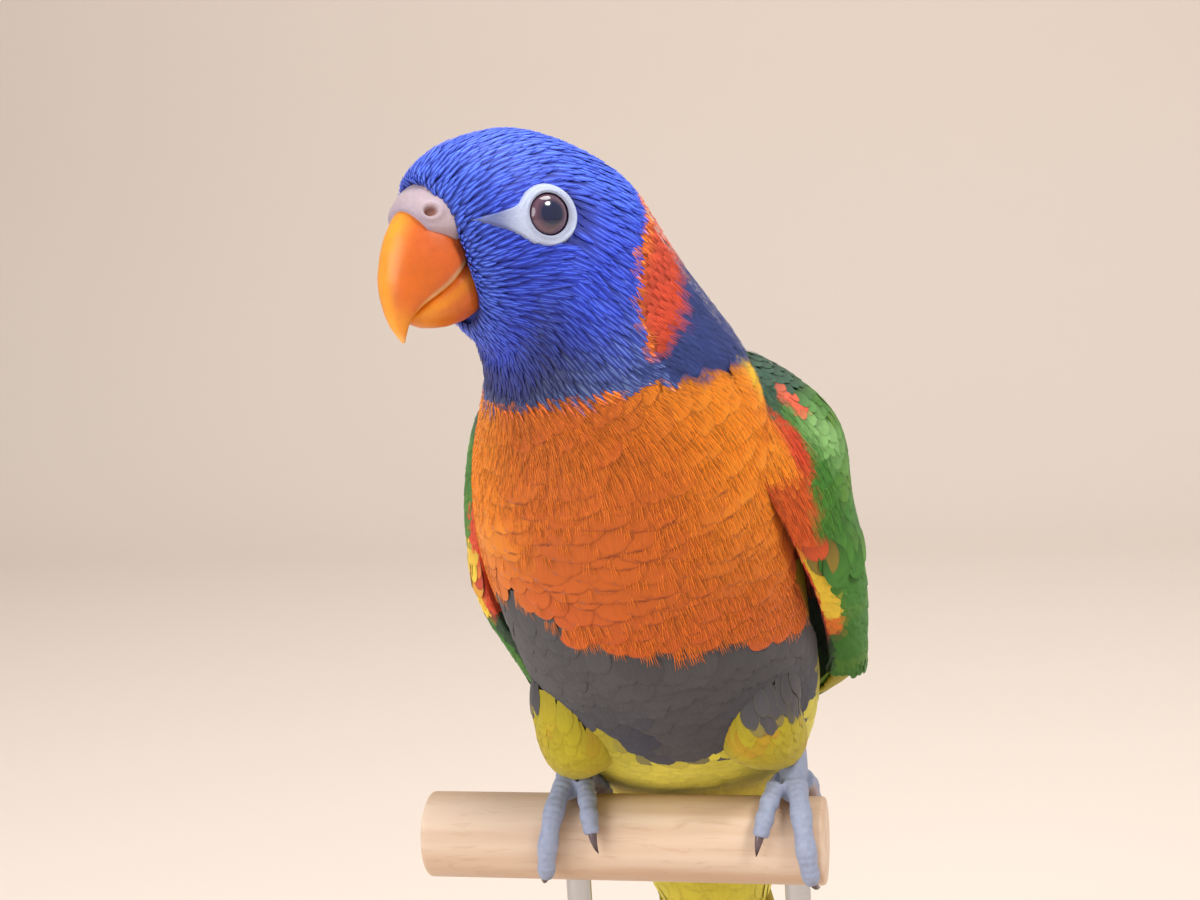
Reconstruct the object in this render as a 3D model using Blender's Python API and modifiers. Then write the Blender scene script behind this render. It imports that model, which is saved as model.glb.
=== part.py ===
"""Red-collared lorikeet gripping a cut length of dowel, which two rods hold above a flat base.

Metres, +Z up, origin under the middle of the base. The dowel runs along X. The bird is written in its own
frame: x to its left, y behind it, z up, from the point on top of the dowel midway between its feet.
"""

import math

import bmesh
import bpy
from mathutils import Matrix, Vector

MM = 0.001
GAP = 0.3 * MM  # clearance between pieces that touch

# ---- driving dimensions, in millimetres and degrees ----
BASE_SIZE = (140, 130, 12)
BASE_BEVEL = 1.5
PERCH_TOP = 140  # height of the dowel's upper line above the floor
PERCH_RADIUS = 8.5
PERCH_ENDS = (-52, 28)
PERCH_BEVEL = 0.8
ROD_RADIUS = 2.5
ROD_DEPTH = 5  # how far a rod goes into the base and into the dowel
FOOT_SPACING = 22  # each foot's distance from the middle

CHEST_TURN = -12  # the chest looks a little to the bird's right of its feet
BODY_LEAN = -3.4
HEAD_TURN = -29  # further than the chest
HEAD_NOD = 3.5
NECK_PIVOT = 28  # how far forward of the feet the head's turning axis stands
EYE_AT = (38.4, 117)  # forward and up, where the line between the eyes crosses the mid plane

EYE_RADIUS = 5.0
EYE_DEPTH = 9.7  # from the mid plane to the eyeball's centre
EYE_BACK = 1.6  # the eyeball's centre from the same line, backwards and down
EYE_DOWN = 0.8
EYE_FORWARD = 18  # degrees that an eye looks ahead of straight sideways
EYE_UPWARD = 0.08  # and the slope at which it looks up
EYE_RING_RADIUS = 4.1
EYE_RING_THICKNESS = 0.9
EYE_RING_OUT = 0.7  # how far outside its own circle on the eyeball the ring lies

TOE_RADIUS = 1.75
TOE_START = 11  # degrees round the dowel from its top, where a toe leaves the foot
TOE_RINGS = 9
TOE_PADS = 3
TOE_STANDOFF = 1.08  # a toe's centre from the wood, in radii of the toe
TOE_ARCH = 0.9  # how much higher a toe is at the foot than along the wood
CLAW_RADIUS = 0.95
CLAW_RINGS = 5
CLAW_OVERLAP = 4  # degrees of the claw that start inside the toe

RING_POINTS = 22
RINGS_PER_STATION = 2

# Stations of the body: name, back line (forward, up), belly line (forward, up), half width, where the section
# is widest from back (0) to belly (1), and its shares of the chest's turn and of the head's.
HEAD_STATIONS = [  # measured from EYE_AT
    ("face", (13.6, 2.8), (9.5, -14.2), 5.0, 0.52, 1, 1.0),
    ("muzzle", (17.0, 6.4), (8.6, -18.0), 8.2, 0.52, 1, 1.0),
    ("lores", (13.2, 11.3), (6.6, -20.4), 10.4, 0.5, 1, 1.0),
    ("brow", (6.4, 13.9), (4.6, -22.2), 12.2, 0.47, 1, 1.0),
    ("crown", (-3.0, 15.0), (2.8, -24.0), 13.7, 0.46, 1, 1.0),
    ("occiput", (-13.8, 12.2), (2.4, -26.4), 15.8, 0.5, 1, 1.0),
    ("nape", (-23.8, 6.4), (1.6, -29.0), 17.6, 0.52, 1, 0.97),
    ("hindneck", (-30.4, -3.6), (1.2, -32.2), 19.6, 0.5, 1, 0.85),
]
TRUNK_STATIONS = [  # measured from the top of the dowel
    ("neck", (3.2, 103.4), (39.8, 82.0), 22.4, 0.48, 1, 0.6),
    ("neck_base", (-5.0, 93.5), (38.8, 74.5), 26.0, 0.46, 1, 0.3),
    ("shoulders", (-13.0, 81.5), (38.2, 65.0), 29.0, 0.46, 1, 0.1),
    ("breast", (-21.5, 67.0), (36.0, 52.0), 30.6, 0.47, 1, 0),
    ("waist", (-28.5, 51.5), (31.0, 38.5), 30.4, 0.48, 0.8, 0),
    ("flank", (-33.0, 36.0), (23.0, 25.0), 29.2, 0.5, 0.55, 0),
    ("belly", (-36.0, 20.5), (12.5, 11.5), 27.4, 0.5, 0.3, 0),
    ("vent", (-37.5, 6.0), (0.0, 2.2), 24.0, 0.5, 0, 0),
    ("rump", (-38.5, -8.0), (-11.5, -6.0), 19.5, 0.5, -0.15, 0),
    ("coverts", (-40.5, -21.0), (-18.5, -19.5), 16.0, 0.5, -0.3, 0),
    ("coverts_mid", (-44.0, -33.0), (-27.5, -34.0), 12.5, 0.5, -0.3, 0),
    ("coverts_end", (-47.0, -43.0), (-36.5, -45.5), 7.5, 0.5, -0.3, 0),
]
HEAD_CUT = 6.6  # stations at which the body is parted into head, neck and trunk
NECK_CUT = 8.35

# Bill stations, from the line between the eyes: ridge, edge, half width, where it is widest.
UPPER_BILL = [
    ((14.2, 2.4), (10.0, -9.0), 5.8, 0.68),
    ((18.4, 2.6), (11.6, -10.4), 6.9, 0.72),
    ((21.6, -0.4), (13.4, -12.0), 6.7, 0.74),
    ((23.8, -4.8), (15.4, -13.6), 5.9, 0.74),
    ((24.7, -9.6), (17.1, -15.0), 4.8, 0.7),
    ((24.2, -14.0), (18.5, -16.2), 3.5, 0.64),
    ((22.8, -17.6), (19.2, -18.2), 2.2, 0.55),
    ((20.8, -20.8), (19.9, -20.6), 0.7, 0.5),
]
LOWER_BILL = [
    ((9.6, -7.4), (7.4, -16.8), 5.4, 0.3),
    ((12.6, -8.8), (9.8, -18.2), 5.9, 0.3),
    ((15.2, -10.8), (13.2, -18.8), 5.3, 0.32),
    ((17.4, -13.2), (16.4, -18.4), 3.9, 0.35),
    ((19.0, -15.6), (18.5, -17.4), 1.6, 0.5),
]
CERE = [
    ((12.8, 4.4), (11.0, -5.4), 5.2, 0.6),
    ((15.6, 5.0), (12.4, -5.2), 7.4, 0.66),
    ((18.0, 3.8), (14.6, -4.2), 7.2, 0.66),
    ((19.8, 2.0), (17.2, -3.0), 5.6, 0.66),
]
NOSTRIL_AT = (3.6, 17.2, 2.4)  # to the side, forward, up
NOSTRIL_RADIUS = 0.95

# Left wing stations: leading edge, crest and trailing edge as (left, forward, up), thickness, and its share
# of the chest's turn.
WING_STATIONS = [
    ((20.6, 10.0, 84.0), (22.6, 2.0, 86.6), (18.0, -4.0, 87.5), 3.5, 1),
    ((24.5, 13.0, 77.0), (28.6, -1.0, 81.0), (14.0, -11.5, 85.0), 7.0, 1),
    ((28.0, 15.5, 67.0), (33.0, -7.0, 72.0), (11.0, -17.5, 79.5), 9.0, 1),
    ((31.0, 12.5, 55.0), (32.8, -9.5, 59.5), (8.0, -25.5, 67.0), 9.0, 0.9),
    ((32.6, 6.0, 41.0), (32.6, -14.0, 45.5), (6.0, -32.0, 54.0), 8.5, 0.7),
    ((31.0, -5.0, 29.0), (31.2, -20.0, 32.0), (5.0, -36.5, 41.0), 7.5, 0.5),
    ((28.0, -16.0, 18.5), (29.0, -27.5, 19.5), (4.4, -39.5, 27.0), 6.0, 0.3),
    ((19.5, -29.5, 6.0), (17.5, -38.5, 8.0), (4.0, -42.0, 12.0), 4.0, 0.15),
    ((14.0, -37.5, -10.0), (12.2, -43.6, -8.5), (3.6, -44.0, -7.0), 3.0, 0),
    ((10.5, -44.0, -29.0), (9.2, -48.0, -28.0), (3.8, -48.6, -27.0), 2.0, -0.2),
    ((8.0, -51.4, -47.0), (7.2, -52.4, -46.8), (5.8, -52.8, -46.5), 0.8, -0.3),
]
WING_CHORD_POINTS = 6
WING_EDGE = 0.5  # least thickness, at the edges and the tip

# Tail stations: centre (forward, up), half width, half thickness.
TAIL_TURN = -0.3  # a share of the chest's turn, to the other side
TAIL_ROOF = 0.18  # how far the outer feathers lie below the middle ones, in half widths
TAIL_POINTS = 14
TAIL_STATIONS = [
    ((-31.0, -14.0), 9.0, 3.5),
    ((-35.0, -27.0), 12.0, 3.8),
    ((-40.5, -42.0), 13.6, 2.8),
    ((-46.5, -59.0), 13.4, 1.9),
    ((-53.0, -77.0), 11.6, 1.3),
    ((-59.5, -95.0), 8.2, 0.9),
    ((-64.8, -109.0), 4.6, 0.6),
    ((-68.0, -118.0), 1.8, 0.4),
]

# Left thigh: centre (left, forward, up) and radius, from the flank down to the ankle.
THIGH_STATIONS = [
    ((12.5, 1.5, 33.0), 9.5),
    ((15.5, 5.0, 25.0), 11.0),
    ((16.9, 5.6, 17.5), 9.6),
    ((19.6, 1.0, 12.0), 7.2),
    ((21.0, -3.6, 9.2), 4.4),
]
SHANK_POINTS = [
    ((21.5, -6.5, 13.0), 2.2),
    ((22.0, -4.6, 8.6), 2.4),
    ((22.0, -1.8, 5.4), 2.8),
    ((22.0, -0.2, 3.2), 2.3),
]

# Toes: name, sideways at the root and at the tip (from the foot, away from the bird's middle),
# how far round the dowel the toe and then its claw reach, in degrees from the top, and its thickness.
TOES = [
    ("2", -3.0, -5.6, 66, 26, 0.95),
    ("3", 0.9, 3.9, 112, 22, 1.05),
    ("1", -2.4, -5.0, -62, -24, 0.85),
    ("4", 1.8, 3.2, -100, -24, 1.0),
]

COLOURS = {
    "blue": (0.035, 0.06, 0.42, 1), "orange": (0.75, 0.2, 0.015, 1), "green": (0.05, 0.22, 0.03, 1),
    "olive": (0.35, 0.36, 0.03, 1), "bill": (0.85, 0.3, 0.03, 1), "skin": (0.6, 0.55, 0.6, 1),
    "eye": (0.05, 0.02, 0.02, 1), "toe": (0.33, 0.38, 0.5, 1), "claw": (0.09, 0.06, 0.06, 1),
    "wood": (0.62, 0.42, 0.27, 1), "steel": (0.45, 0.45, 0.46, 1),
}


# ---- scene helpers ----
def clear_scene():
    for obj in list(bpy.data.objects):
        bpy.data.objects.remove(obj)


def collection(name):
    made = bpy.data.collections.new(name)
    bpy.context.scene.collection.children.link(made)
    return made


def material(name, roughness=0.5, metallic=0.0):
    found = bpy.data.materials.get(name)
    if found:
        return found
    made = bpy.data.materials.new(name)
    made.use_nodes = True
    shader = made.node_tree.nodes["Principled BSDF"]
    shader.inputs["Base Color"].default_value = COLOURS[name]
    shader.inputs["Roughness"].default_value = roughness
    shader.inputs["Metallic"].default_value = metallic
    made.diffuse_color = COLOURS[name]
    return made


def add_object(name, mesh, colour, parent=None):
    obj = bpy.data.objects.new(name, mesh)
    PARTS.objects.link(obj)
    obj.parent = parent
    if mesh.materials:
        mesh.materials.clear()
    mesh.materials.append(material(colour))
    return obj


def mesh_from(build, name):
    """A new mesh, filled by build(bm) and with its faces pointing out."""
    bm = bmesh.new()
    build(bm)
    bmesh.ops.recalc_face_normals(bm, faces=bm.faces)
    mesh = bpy.data.meshes.new(name)
    bm.to_mesh(mesh)
    bm.free()
    return mesh


def smooth(obj, angle=40):
    obj.data.shade_smooth()
    obj.data.set_sharp_from_angle(angle=math.radians(angle))


def world_matrix(frame):
    bpy.context.view_layer.update()
    return frame.matrix_world


def baked_mesh(obj):
    """The object's evaluated shape as a mesh in world coordinates, with its doubles merged."""
    bpy.context.view_layer.update()
    graph = bpy.context.evaluated_depsgraph_get()
    mesh = bpy.data.meshes.new_from_object(obj.evaluated_get(graph))
    mesh.transform(obj.matrix_world)
    bm = bmesh.new()
    bm.from_mesh(mesh)
    bmesh.ops.remove_doubles(bm, verts=bm.verts, dist=0.01 * MM)
    bmesh.ops.recalc_face_normals(bm, faces=bm.faces)
    bm.to_mesh(mesh)
    bm.free()
    return mesh


def fix_in_place(obj):
    """Replaces an object by its own baked mesh, in world coordinates, so that Booleans can use it."""
    mesh = baked_mesh(obj)
    name, colour = obj.name, obj.data.materials[0].name
    bpy.data.objects.remove(obj)
    return add_object(name, mesh, colour)


def cutter(name, mesh):
    obj = bpy.data.objects.new(name, mesh)
    CUTTERS.objects.link(obj)
    obj.hide_render = True
    obj.display_type = "WIRE"
    return obj


def grown(obj, by=GAP):
    """A cutter with the object's shape, larger by the clearance on every side."""
    mesh = baked_mesh(obj)
    bm = bmesh.new()
    bm.from_mesh(mesh)
    bm.normal_update()
    moves = [vert.normal * by for vert in bm.verts]
    for vert, move in zip(bm.verts, moves):
        vert.co += move
    bm.to_mesh(mesh)
    bm.free()
    return cutter(obj.name + "_clearance", mesh)


def boolean(obj, other, operation="DIFFERENCE"):
    modifier = obj.modifiers.new(other.name, "BOOLEAN")
    modifier.operation = operation
    modifier.solver = "EXACT"
    modifier.object = other


def cut(obj, *cutters):
    """The piece less each cutter in turn, its mesh cleaned between the cuts."""
    for other in cutters[:-1]:
        boolean(obj, other)
        obj = fix_in_place(obj)
        smooth(obj)
    boolean(obj, cutters[-1])
    return obj


def united(name, *cutters):
    """One cutter in place of several that overlap."""
    whole = cutter(name, cutters[0].data.copy())
    for other in cutters[1:]:
        boolean(whole, other, "UNION")
    mesh = baked_mesh(whole)
    bpy.data.objects.remove(whole)
    return cutter(name, mesh)


def half_space(name, point, normal, size=400 * MM):
    """A large cube whose lower face lies on the plane; it keeps the side that the normal points to."""
    bm = bmesh.new()
    bmesh.ops.create_cube(bm, size=size)
    turn = normal.to_track_quat("Z", "Y").to_matrix().to_4x4()
    place = Matrix.Translation(point + normal * (size / 2 + GAP / 2)) @ turn
    bmesh.ops.transform(bm, matrix=place, verts=bm.verts)
    mesh = bpy.data.meshes.new(name)
    bm.to_mesh(mesh)
    bm.free()
    return cutter(name, mesh)


# ---- curves and sections ----
def flat(values):
    """A station's numbers in one list, whatever tuples hold them."""
    out = []
    for value in values:
        if isinstance(value, tuple):
            out += flat(value)
        else:
            out.append(value)
    return out


def catmull_rom(rows, at):
    """The row at a place between rows, on a smooth curve through all of them."""
    last = len(rows) - 1
    i = min(int(at), last - 1)
    t = at - i
    before, start = rows[max(i - 1, 0)], rows[i]
    end, after = rows[i + 1], rows[min(i + 2, last)]
    row = []
    for a, b, c, d in zip(before, start, end, after):
        slope = c - a
        square = 2 * a - 5 * b + 4 * c - d
        cube = 3 * b - a - 3 * c + d
        row.append(0.5 * (2 * b + slope * t + square * t ** 2 + cube * t ** 3))
    return row


def spread(rows, steps):
    """The rows with more of them between, evenly."""
    count = (len(rows) - 1) * steps
    return [catmull_rom(rows, k / steps) for k in range(count + 1)]


def loft(name, rings, ladder=False):
    """A closed skin over rings of equally many points, capped at both ends.

    A ladder cap joins each point to the one across from it, for a thin bent section; the other is a fan.
    """
    def build(bm):
        made = [[bm.verts.new(point) for point in ring] for ring in rings]
        for ring, following in zip(made, made[1:]):
            for k in range(len(ring)):
                j = (k + 1) % len(ring)
                bm.faces.new((ring[k], ring[j], following[j], following[k]))
        for ring in (made[0], made[-1]):
            if ladder:
                for k in range(len(ring) // 2 - 1):
                    bm.faces.new((ring[k], ring[k + 1], ring[-k - 2], ring[-k - 1]))
                continue
            middle = bm.verts.new(sum((vert.co for vert in ring), Vector()) / len(ring))
            for k in range(len(ring)):
                bm.faces.new((ring[k], ring[(k + 1) % len(ring)], middle))
    return mesh_from(build, name)


def profile_ring(back, belly, half_width, widest, points):
    """A section through two points of the mid plane, each (forward, up), and as wide as told."""
    top = Vector((0, -back[0], back[1]))
    bottom = Vector((0, -belly[0], belly[1]))
    centre = top.lerp(bottom, widest)
    ring = []
    for k in range(points):
        angle = 2 * math.pi * k / points
        reach = (top if math.cos(angle) > 0 else bottom) - centre
        ring.append(centre + reach * abs(math.cos(angle)) + Vector((half_width * math.sin(angle), 0, 0)))
    return [point * MM for point in ring]


def turned(point, chest, head=0):
    """A point of the straight bird moved as its chest and its head turn, by a share of each turn."""
    pivot = Vector((0, -NECK_PIVOT * MM, 0))
    point = pivot + Matrix.Rotation(math.radians(HEAD_TURN * head), 3, "Z") @ (point - pivot)
    return Matrix.Rotation(math.radians(CHEST_TURN * chest), 3, "Z") @ point


def tube(name, centres, radii, points=12):
    """A tube of changing radius along a line of points that doesn't run along X."""
    rings = []
    for i, centre in enumerate(centres):
        ahead = (centres[min(i + 1, len(centres) - 1)] - centres[max(i - 1, 0)]).normalized()
        side = ahead.cross(Vector((1, 0, 0))).normalized()
        other = ahead.cross(side)
        angles = [2 * math.pi * k / points for k in range(points)]
        rings.append([centre + (side * math.cos(a) + other * math.sin(a)) * radii[i] for a in angles])
    return loft(name, rings)


# ---- the bird's frames ----
def bird_frames():
    """The empties that carry the pieces: the dowel's top, the leaning bird and its turned head."""
    ground = bpy.data.objects.new("perch_frame", None)
    ground.location = (0, 0, PERCH_TOP * MM)
    trunk = bpy.data.objects.new("bird_frame", None)
    trunk.parent = ground
    trunk.rotation_euler = (0, math.radians(BODY_LEAN), 0)
    head = bpy.data.objects.new("head_frame", None)
    head.parent = trunk
    head.location = turned(Vector((0, -EYE_AT[0], EYE_AT[1])) * MM, 1, 1)
    head.rotation_euler = (math.radians(-HEAD_NOD), 0, math.radians(CHEST_TURN + HEAD_TURN))
    for frame in (ground, trunk, head):
        PARTS.objects.link(frame)
    return ground, trunk, head


def body_rings():
    rows = []
    for _, back, belly, half_width, widest, chest, head in HEAD_STATIONS:
        nod = Matrix.Rotation(math.radians(HEAD_NOD) * head, 2)
        ends = [tuple(Vector(EYE_AT) + nod @ Vector(end)) for end in (back, belly)]
        rows.append(flat((*ends, half_width, widest, chest, head)))
    rows += [flat(station[1:]) for station in TRUNK_STATIONS]
    rings = []
    for f1, u1, f2, u2, half_width, widest, chest, head in spread(rows, RINGS_PER_STATION):
        ring = profile_ring((f1, u1), (f2, u2), half_width, widest, RING_POINTS)
        rings.append([turned(point, chest, head) for point in ring])
    return rings


def ring_plane(ring, frame):
    """A point on a ring's plane and the normal towards the bill end, in world coordinates."""
    quarter = len(ring) // 4
    corners = [frame @ ring[0], frame @ ring[quarter], frame @ ring[2 * quarter]]
    normal = (corners[1] - corners[0]).cross(corners[2] - corners[0]).normalized()
    return frame @ (sum(ring, Vector()) / len(ring)), normal


def body(trunk_frame):
    """The feathered body modelled whole, then parted into head, neck and trunk. Also gives its clearance."""
    rings = body_rings()
    frame = world_matrix(trunk_frame)
    whole = [[frame @ point for point in ring] for ring in rings]
    mesh = loft("body", whole)
    uncut = add_object("body", mesh.copy(), "blue")
    clearance = grown(uncut)
    bpy.data.objects.remove(uncut)
    planes = []
    for station in (HEAD_CUT, NECK_CUT):
        point, normal = ring_plane(rings[round(station * RINGS_PER_STATION)], frame)
        towards_bill = (whole[0][0] - point).dot(normal)
        planes.append((point, normal if towards_bill > 0 else -normal))
    (head_at, head_up), (neck_at, neck_up) = planes
    sides = {
        "head": [(head_at, head_up)],
        "neck": [(head_at, -head_up), (neck_at, neck_up)],
        "trunk": [(neck_at, -neck_up)],
    }
    colours = {"head": "blue", "neck": "blue", "trunk": "orange"}
    made = {}
    for name, kept in sides.items():
        piece = add_object(name, mesh.copy(), colours[name])
        for number, (point, normal) in enumerate(kept):
            boolean(piece, half_space(f"{name}_side_{number}", point, normal), "INTERSECT")
        made[name] = fix_in_place(piece)
        smooth(made[name])
    return made, clearance


# ---- head pieces ----
def bill_piece(name, stations, colour, head_frame, points=14, steps=1):
    rings = []
    for f1, u1, f2, u2, half_width, widest in spread([flat(row) for row in stations], steps):
        rings.append(profile_ring((f1, u1), (f2, u2), half_width, widest, points))
    piece = add_object(name, loft(name, rings), colour, head_frame)
    smooth(piece)
    return fix_in_place(piece)


def ball(name, centre, radius, colour, parent, segments=13, rings=8):
    def build(bm):
        bmesh.ops.create_uvsphere(bm, u_segments=segments, v_segments=rings, radius=radius * MM)
    piece = add_object(name, mesh_from(build, name), colour, parent)
    piece.location = Vector(centre) * MM
    smooth(piece, 60)
    return piece


def nostrils(cere, head_frame):
    side, forward, up = NOSTRIL_AT
    for sign in (-1, 1):
        hole = ball(f"nostril_{sign}", (sign * side, -forward, up), NOSTRIL_RADIUS, "claw", head_frame, 10, 6)
        mesh = baked_mesh(hole)
        bpy.data.objects.remove(hole)
        boolean(cere, cutter(f"nostril_cut_{sign}", mesh))


def eye_look(sign):
    angle = math.radians(EYE_FORWARD)
    return Vector((sign * math.cos(angle), -math.sin(angle), EYE_UPWARD)).normalized()


def ring_centre(centre, sign):
    circle = math.sqrt(EYE_RADIUS ** 2 - EYE_RING_RADIUS ** 2)
    return centre + eye_look(sign) * (circle + EYE_RING_OUT)


def eye_ring(name, centre, sign, head_frame):
    """The bare skin round an eye, a flattened ring on the eyeball's front."""
    major = EYE_RING_RADIUS * MM
    bpy.ops.mesh.primitive_torus_add(
        major_radius=major, minor_radius=EYE_RING_THICKNESS * MM, major_segments=16, minor_segments=5
    )
    made = bpy.context.object
    mesh = made.data.copy()
    bpy.data.objects.remove(made)
    piece = add_object(name, mesh, "skin", head_frame)
    piece.location = ring_centre(centre, sign) * MM
    piece.rotation_euler = eye_look(sign).to_track_quat("Z", "Y").to_euler()
    smooth(piece, 60)
    return fix_in_place(piece)


def head_pieces(head, head_frame):
    upper = bill_piece("bill_upper", UPPER_BILL, "bill", head_frame)
    lower = bill_piece("bill_lower", LOWER_BILL, "bill", head_frame, points=12)
    cere = bill_piece("cere", CERE, "skin", head_frame, steps=2)
    upper_room, lower_room, cere_room = grown(upper), grown(lower), grown(cere)
    nostrils(cere, head_frame)
    cut(upper, cere_room)
    cut(lower, upper_room)
    rooms = [united("muzzle_clearance", cere_room, upper_room, lower_room)]
    for side, sign in (("left", 1), ("right", -1)):
        centre = Vector((sign * EYE_DEPTH, EYE_BACK, -EYE_DOWN))
        eye = fix_in_place(ball(f"eye_{side}", centre, EYE_RADIUS, "eye", head_frame))
        ring = eye_ring(f"eye_ring_{side}", centre, sign, head_frame)
        opening = ball(f"eye_{side}_opening", ring_centre(centre, sign), EYE_RING_RADIUS, "eye", head_frame)
        eye_room, opening_room = grown(eye), grown(opening)
        bpy.data.objects.remove(opening)
        rooms.append(united(f"eye_{side}_and_ring_clearance", eye_room, grown(ring), opening_room))
        cut(ring, eye_room)
    cut(head, *rooms)


# ---- wings, tail and legs ----
def wing(side, sign, frame):
    rings = []
    for row in spread([flat(row) for row in WING_STATIONS], 2):
        lead, crest, trail = Vector(row[0:3]), Vector(row[3:6]), Vector(row[6:9])
        thickness, chest = row[9], row[10]
        bend = 2 * crest - (lead + trail) / 2
        out = (crest - (lead + trail) / 2).normalized()
        outer, inner = [], []
        for k in range(WING_CHORD_POINTS):
            t = k / (WING_CHORD_POINTS - 1)
            point = lead * (1 - t) ** 2 + bend * 2 * t * (1 - t) + trail * t * t
            rounded = math.sqrt(max(0, 1 - (2 * t - 1) ** 2))
            half = max(thickness * (0.25 + 0.75 * rounded), WING_EDGE) / 2
            outer.append(point + out * half)
            inner.append(point - out * half)
        ring = outer + inner[::-1]
        rings.append([turned(Vector((sign * p.x, -p.y, p.z)) * MM, chest) for p in ring])
    piece = add_object(f"wing_{side}", loft(f"wing_{side}", rings, ladder=True), "green", frame)
    smooth(piece)
    return fix_in_place(piece)


def tail(frame):
    rings = []
    for forward, up, half_width, half_thickness in spread([flat(row) for row in TAIL_STATIONS], 2):
        centre = Vector((0, -forward, up))
        ring = []
        for k in range(TAIL_POINTS):
            angle = 2 * math.pi * k / TAIL_POINTS
            across, through = math.cos(angle), math.sin(angle)
            roof = -TAIL_ROOF * half_width * across ** 2
            ring.append(centre + Vector((half_width * across, half_thickness * through + roof, 0)))
        rings.append([turned(point * MM, TAIL_TURN) for point in ring])
    piece = add_object("tail", loft("tail", rings), "green", frame)
    smooth(piece)
    return fix_in_place(piece)


def thigh(side, sign, frame):
    rows = spread([flat(row) for row in THIGH_STATIONS], 2)
    centres = [Vector((sign * row[0], -row[1], row[2])) * MM for row in rows]
    radii = [row[3] * MM for row in rows]
    piece = add_object(f"thigh_{side}", tube("thigh", centres, radii, 14), "olive", frame)
    smooth(piece)
    return fix_in_place(piece)


def shank(side, sign, ground):
    rows = spread([flat(row) for row in SHANK_POINTS], 2)
    centres = [Vector((sign * row[0], -row[1], row[2])) * MM for row in rows]
    radii = [row[3] * MM for row in rows]
    piece = add_object(f"shank_{side}", tube("shank", centres, radii, 10), "toe", ground)
    smooth(piece)
    return fix_in_place(piece)


def on_dowel(x, degrees, lift):
    """A point beside the dowel, in its own frame: round it from the top and so far out from its surface."""
    angle = math.radians(degrees)
    reach = PERCH_RADIUS + GAP / MM + lift
    return Vector((x, -reach * math.sin(angle), reach * math.cos(angle) - PERCH_RADIUS)) * MM


def toe(side, sign, ground, name, root, tip, reach, thickness):
    """A toe bent round the dowel, a little swollen at each pad."""
    radius = TOE_RADIUS * thickness
    start = math.copysign(TOE_START, reach)
    centres, radii = [], []
    for k in range(TOE_RINGS):
        t = k / (TOE_RINGS - 1)
        x = sign * (FOOT_SPACING + root + (tip - root) * t ** 0.8)
        lift = radius * TOE_STANDOFF + TOE_ARCH * (1 - t) ** 3
        centres.append(on_dowel(x, start * (1 - t) + reach * t, lift))
        pads = 1.02 - 0.12 * t + 0.07 * math.cos(t * 2 * math.pi * TOE_PADS)
        round_tip = min(1, 0.72 + 3 * (1 - t))
        narrow_root = 0.8 if k == 0 else 1
        radii.append(radius * pads * round_tip * narrow_root * MM)
    piece = add_object(f"toe_{side}_{name}", tube("toe", centres, radii, 7), "toe", ground)
    smooth(piece)
    return fix_in_place(piece)


def claw(side, sign, ground, name, root, tip, reach, claw_reach, thickness):
    """The claw that goes on from a toe and hooks towards the wood."""
    start = reach - math.copysign(CLAW_OVERLAP, reach)
    centres, radii = [], []
    for k in range(CLAW_RINGS):
        t = k / (CLAW_RINGS - 1)
        x = sign * (FOOT_SPACING + tip + 0.4 * (tip - root) * t)
        lift = TOE_RADIUS * thickness * TOE_STANDOFF + 0.5 * math.sin(math.pi * t) - 1.3 * t ** 1.5
        centres.append(on_dowel(x, start + claw_reach * t, lift))
        radii.append(CLAW_RADIUS * (1 - 0.72 * t) * MM)
    piece = add_object(f"claw_{side}_{name}", tube("claw", centres, radii, 5), "claw", ground)
    smooth(piece)
    return fix_in_place(piece)


def leg(side, sign, ground, *rooms):
    """The bare leg of one side, its foot on the dowel."""
    toe_rooms = []
    for name, root, tip, reach, claw_reach, thickness in TOES:
        toe_room = grown(toe(side, sign, ground, name, root, tip, reach, thickness))
        cut(claw(side, sign, ground, name, root, tip, reach, claw_reach, thickness), toe_room)
        toe_rooms.append(toe_room)
    cut(shank(side, sign, ground), united(f"foot_{side}_clearance", *toe_rooms), *rooms)


# ---- perch and stand ----
def rod_mesh(name, radius, length, segments=20):
    def build(bm):
        bmesh.ops.create_cone(
            bm, cap_ends=True, segments=segments, radius1=radius * MM, radius2=radius * MM, depth=length * MM
        )
    return mesh_from(build, name)


def perch():
    start, end = PERCH_ENDS
    piece = add_object("perch", rod_mesh("perch", PERCH_RADIUS, end - start, 32), "wood")
    piece.rotation_euler = (0, math.pi / 2, 0)
    piece.location = Vector(((start + end) / 2, 0, PERCH_TOP - PERCH_RADIUS)) * MM
    bevel = piece.modifiers.new("edge", "BEVEL")
    bevel.width = PERCH_BEVEL * MM
    bevel.limit_method = "ANGLE"
    bevel.angle_limit = math.radians(40)
    smooth(piece)
    return fix_in_place(piece)


def stand(dowel):
    """The flat base and two rods up into the dowel, under the bird's feet."""
    width, depth, height = BASE_SIZE
    bm = bmesh.new()
    bmesh.ops.create_cube(bm, size=1)
    bmesh.ops.scale(bm, vec=Vector(BASE_SIZE) * MM, verts=bm.verts)
    mesh = bpy.data.meshes.new("stand_base")
    bm.to_mesh(mesh)
    bm.free()
    base = add_object("stand_base", mesh, "wood")
    base.location = (0, 0, height / 2 * MM)
    bevel = base.modifiers.new("edge", "BEVEL")
    bevel.width = BASE_BEVEL * MM
    base = fix_in_place(base)
    low = height - ROD_DEPTH
    high = PERCH_TOP - 2 * PERCH_RADIUS + ROD_DEPTH
    rod_rooms = []
    for side, sign in (("left", 1), ("right", -1)):
        rod = add_object(f"stand_rod_{side}", rod_mesh("rod", ROD_RADIUS, high - low), "steel")
        rod.location = Vector((sign * FOOT_SPACING, 0, (low + high) / 2)) * MM
        rod = fix_in_place(rod)
        smooth(rod)
        rod_rooms.append(grown(rod))
    cut(base, *rod_rooms)
    cut(dowel, *rod_rooms)


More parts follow.
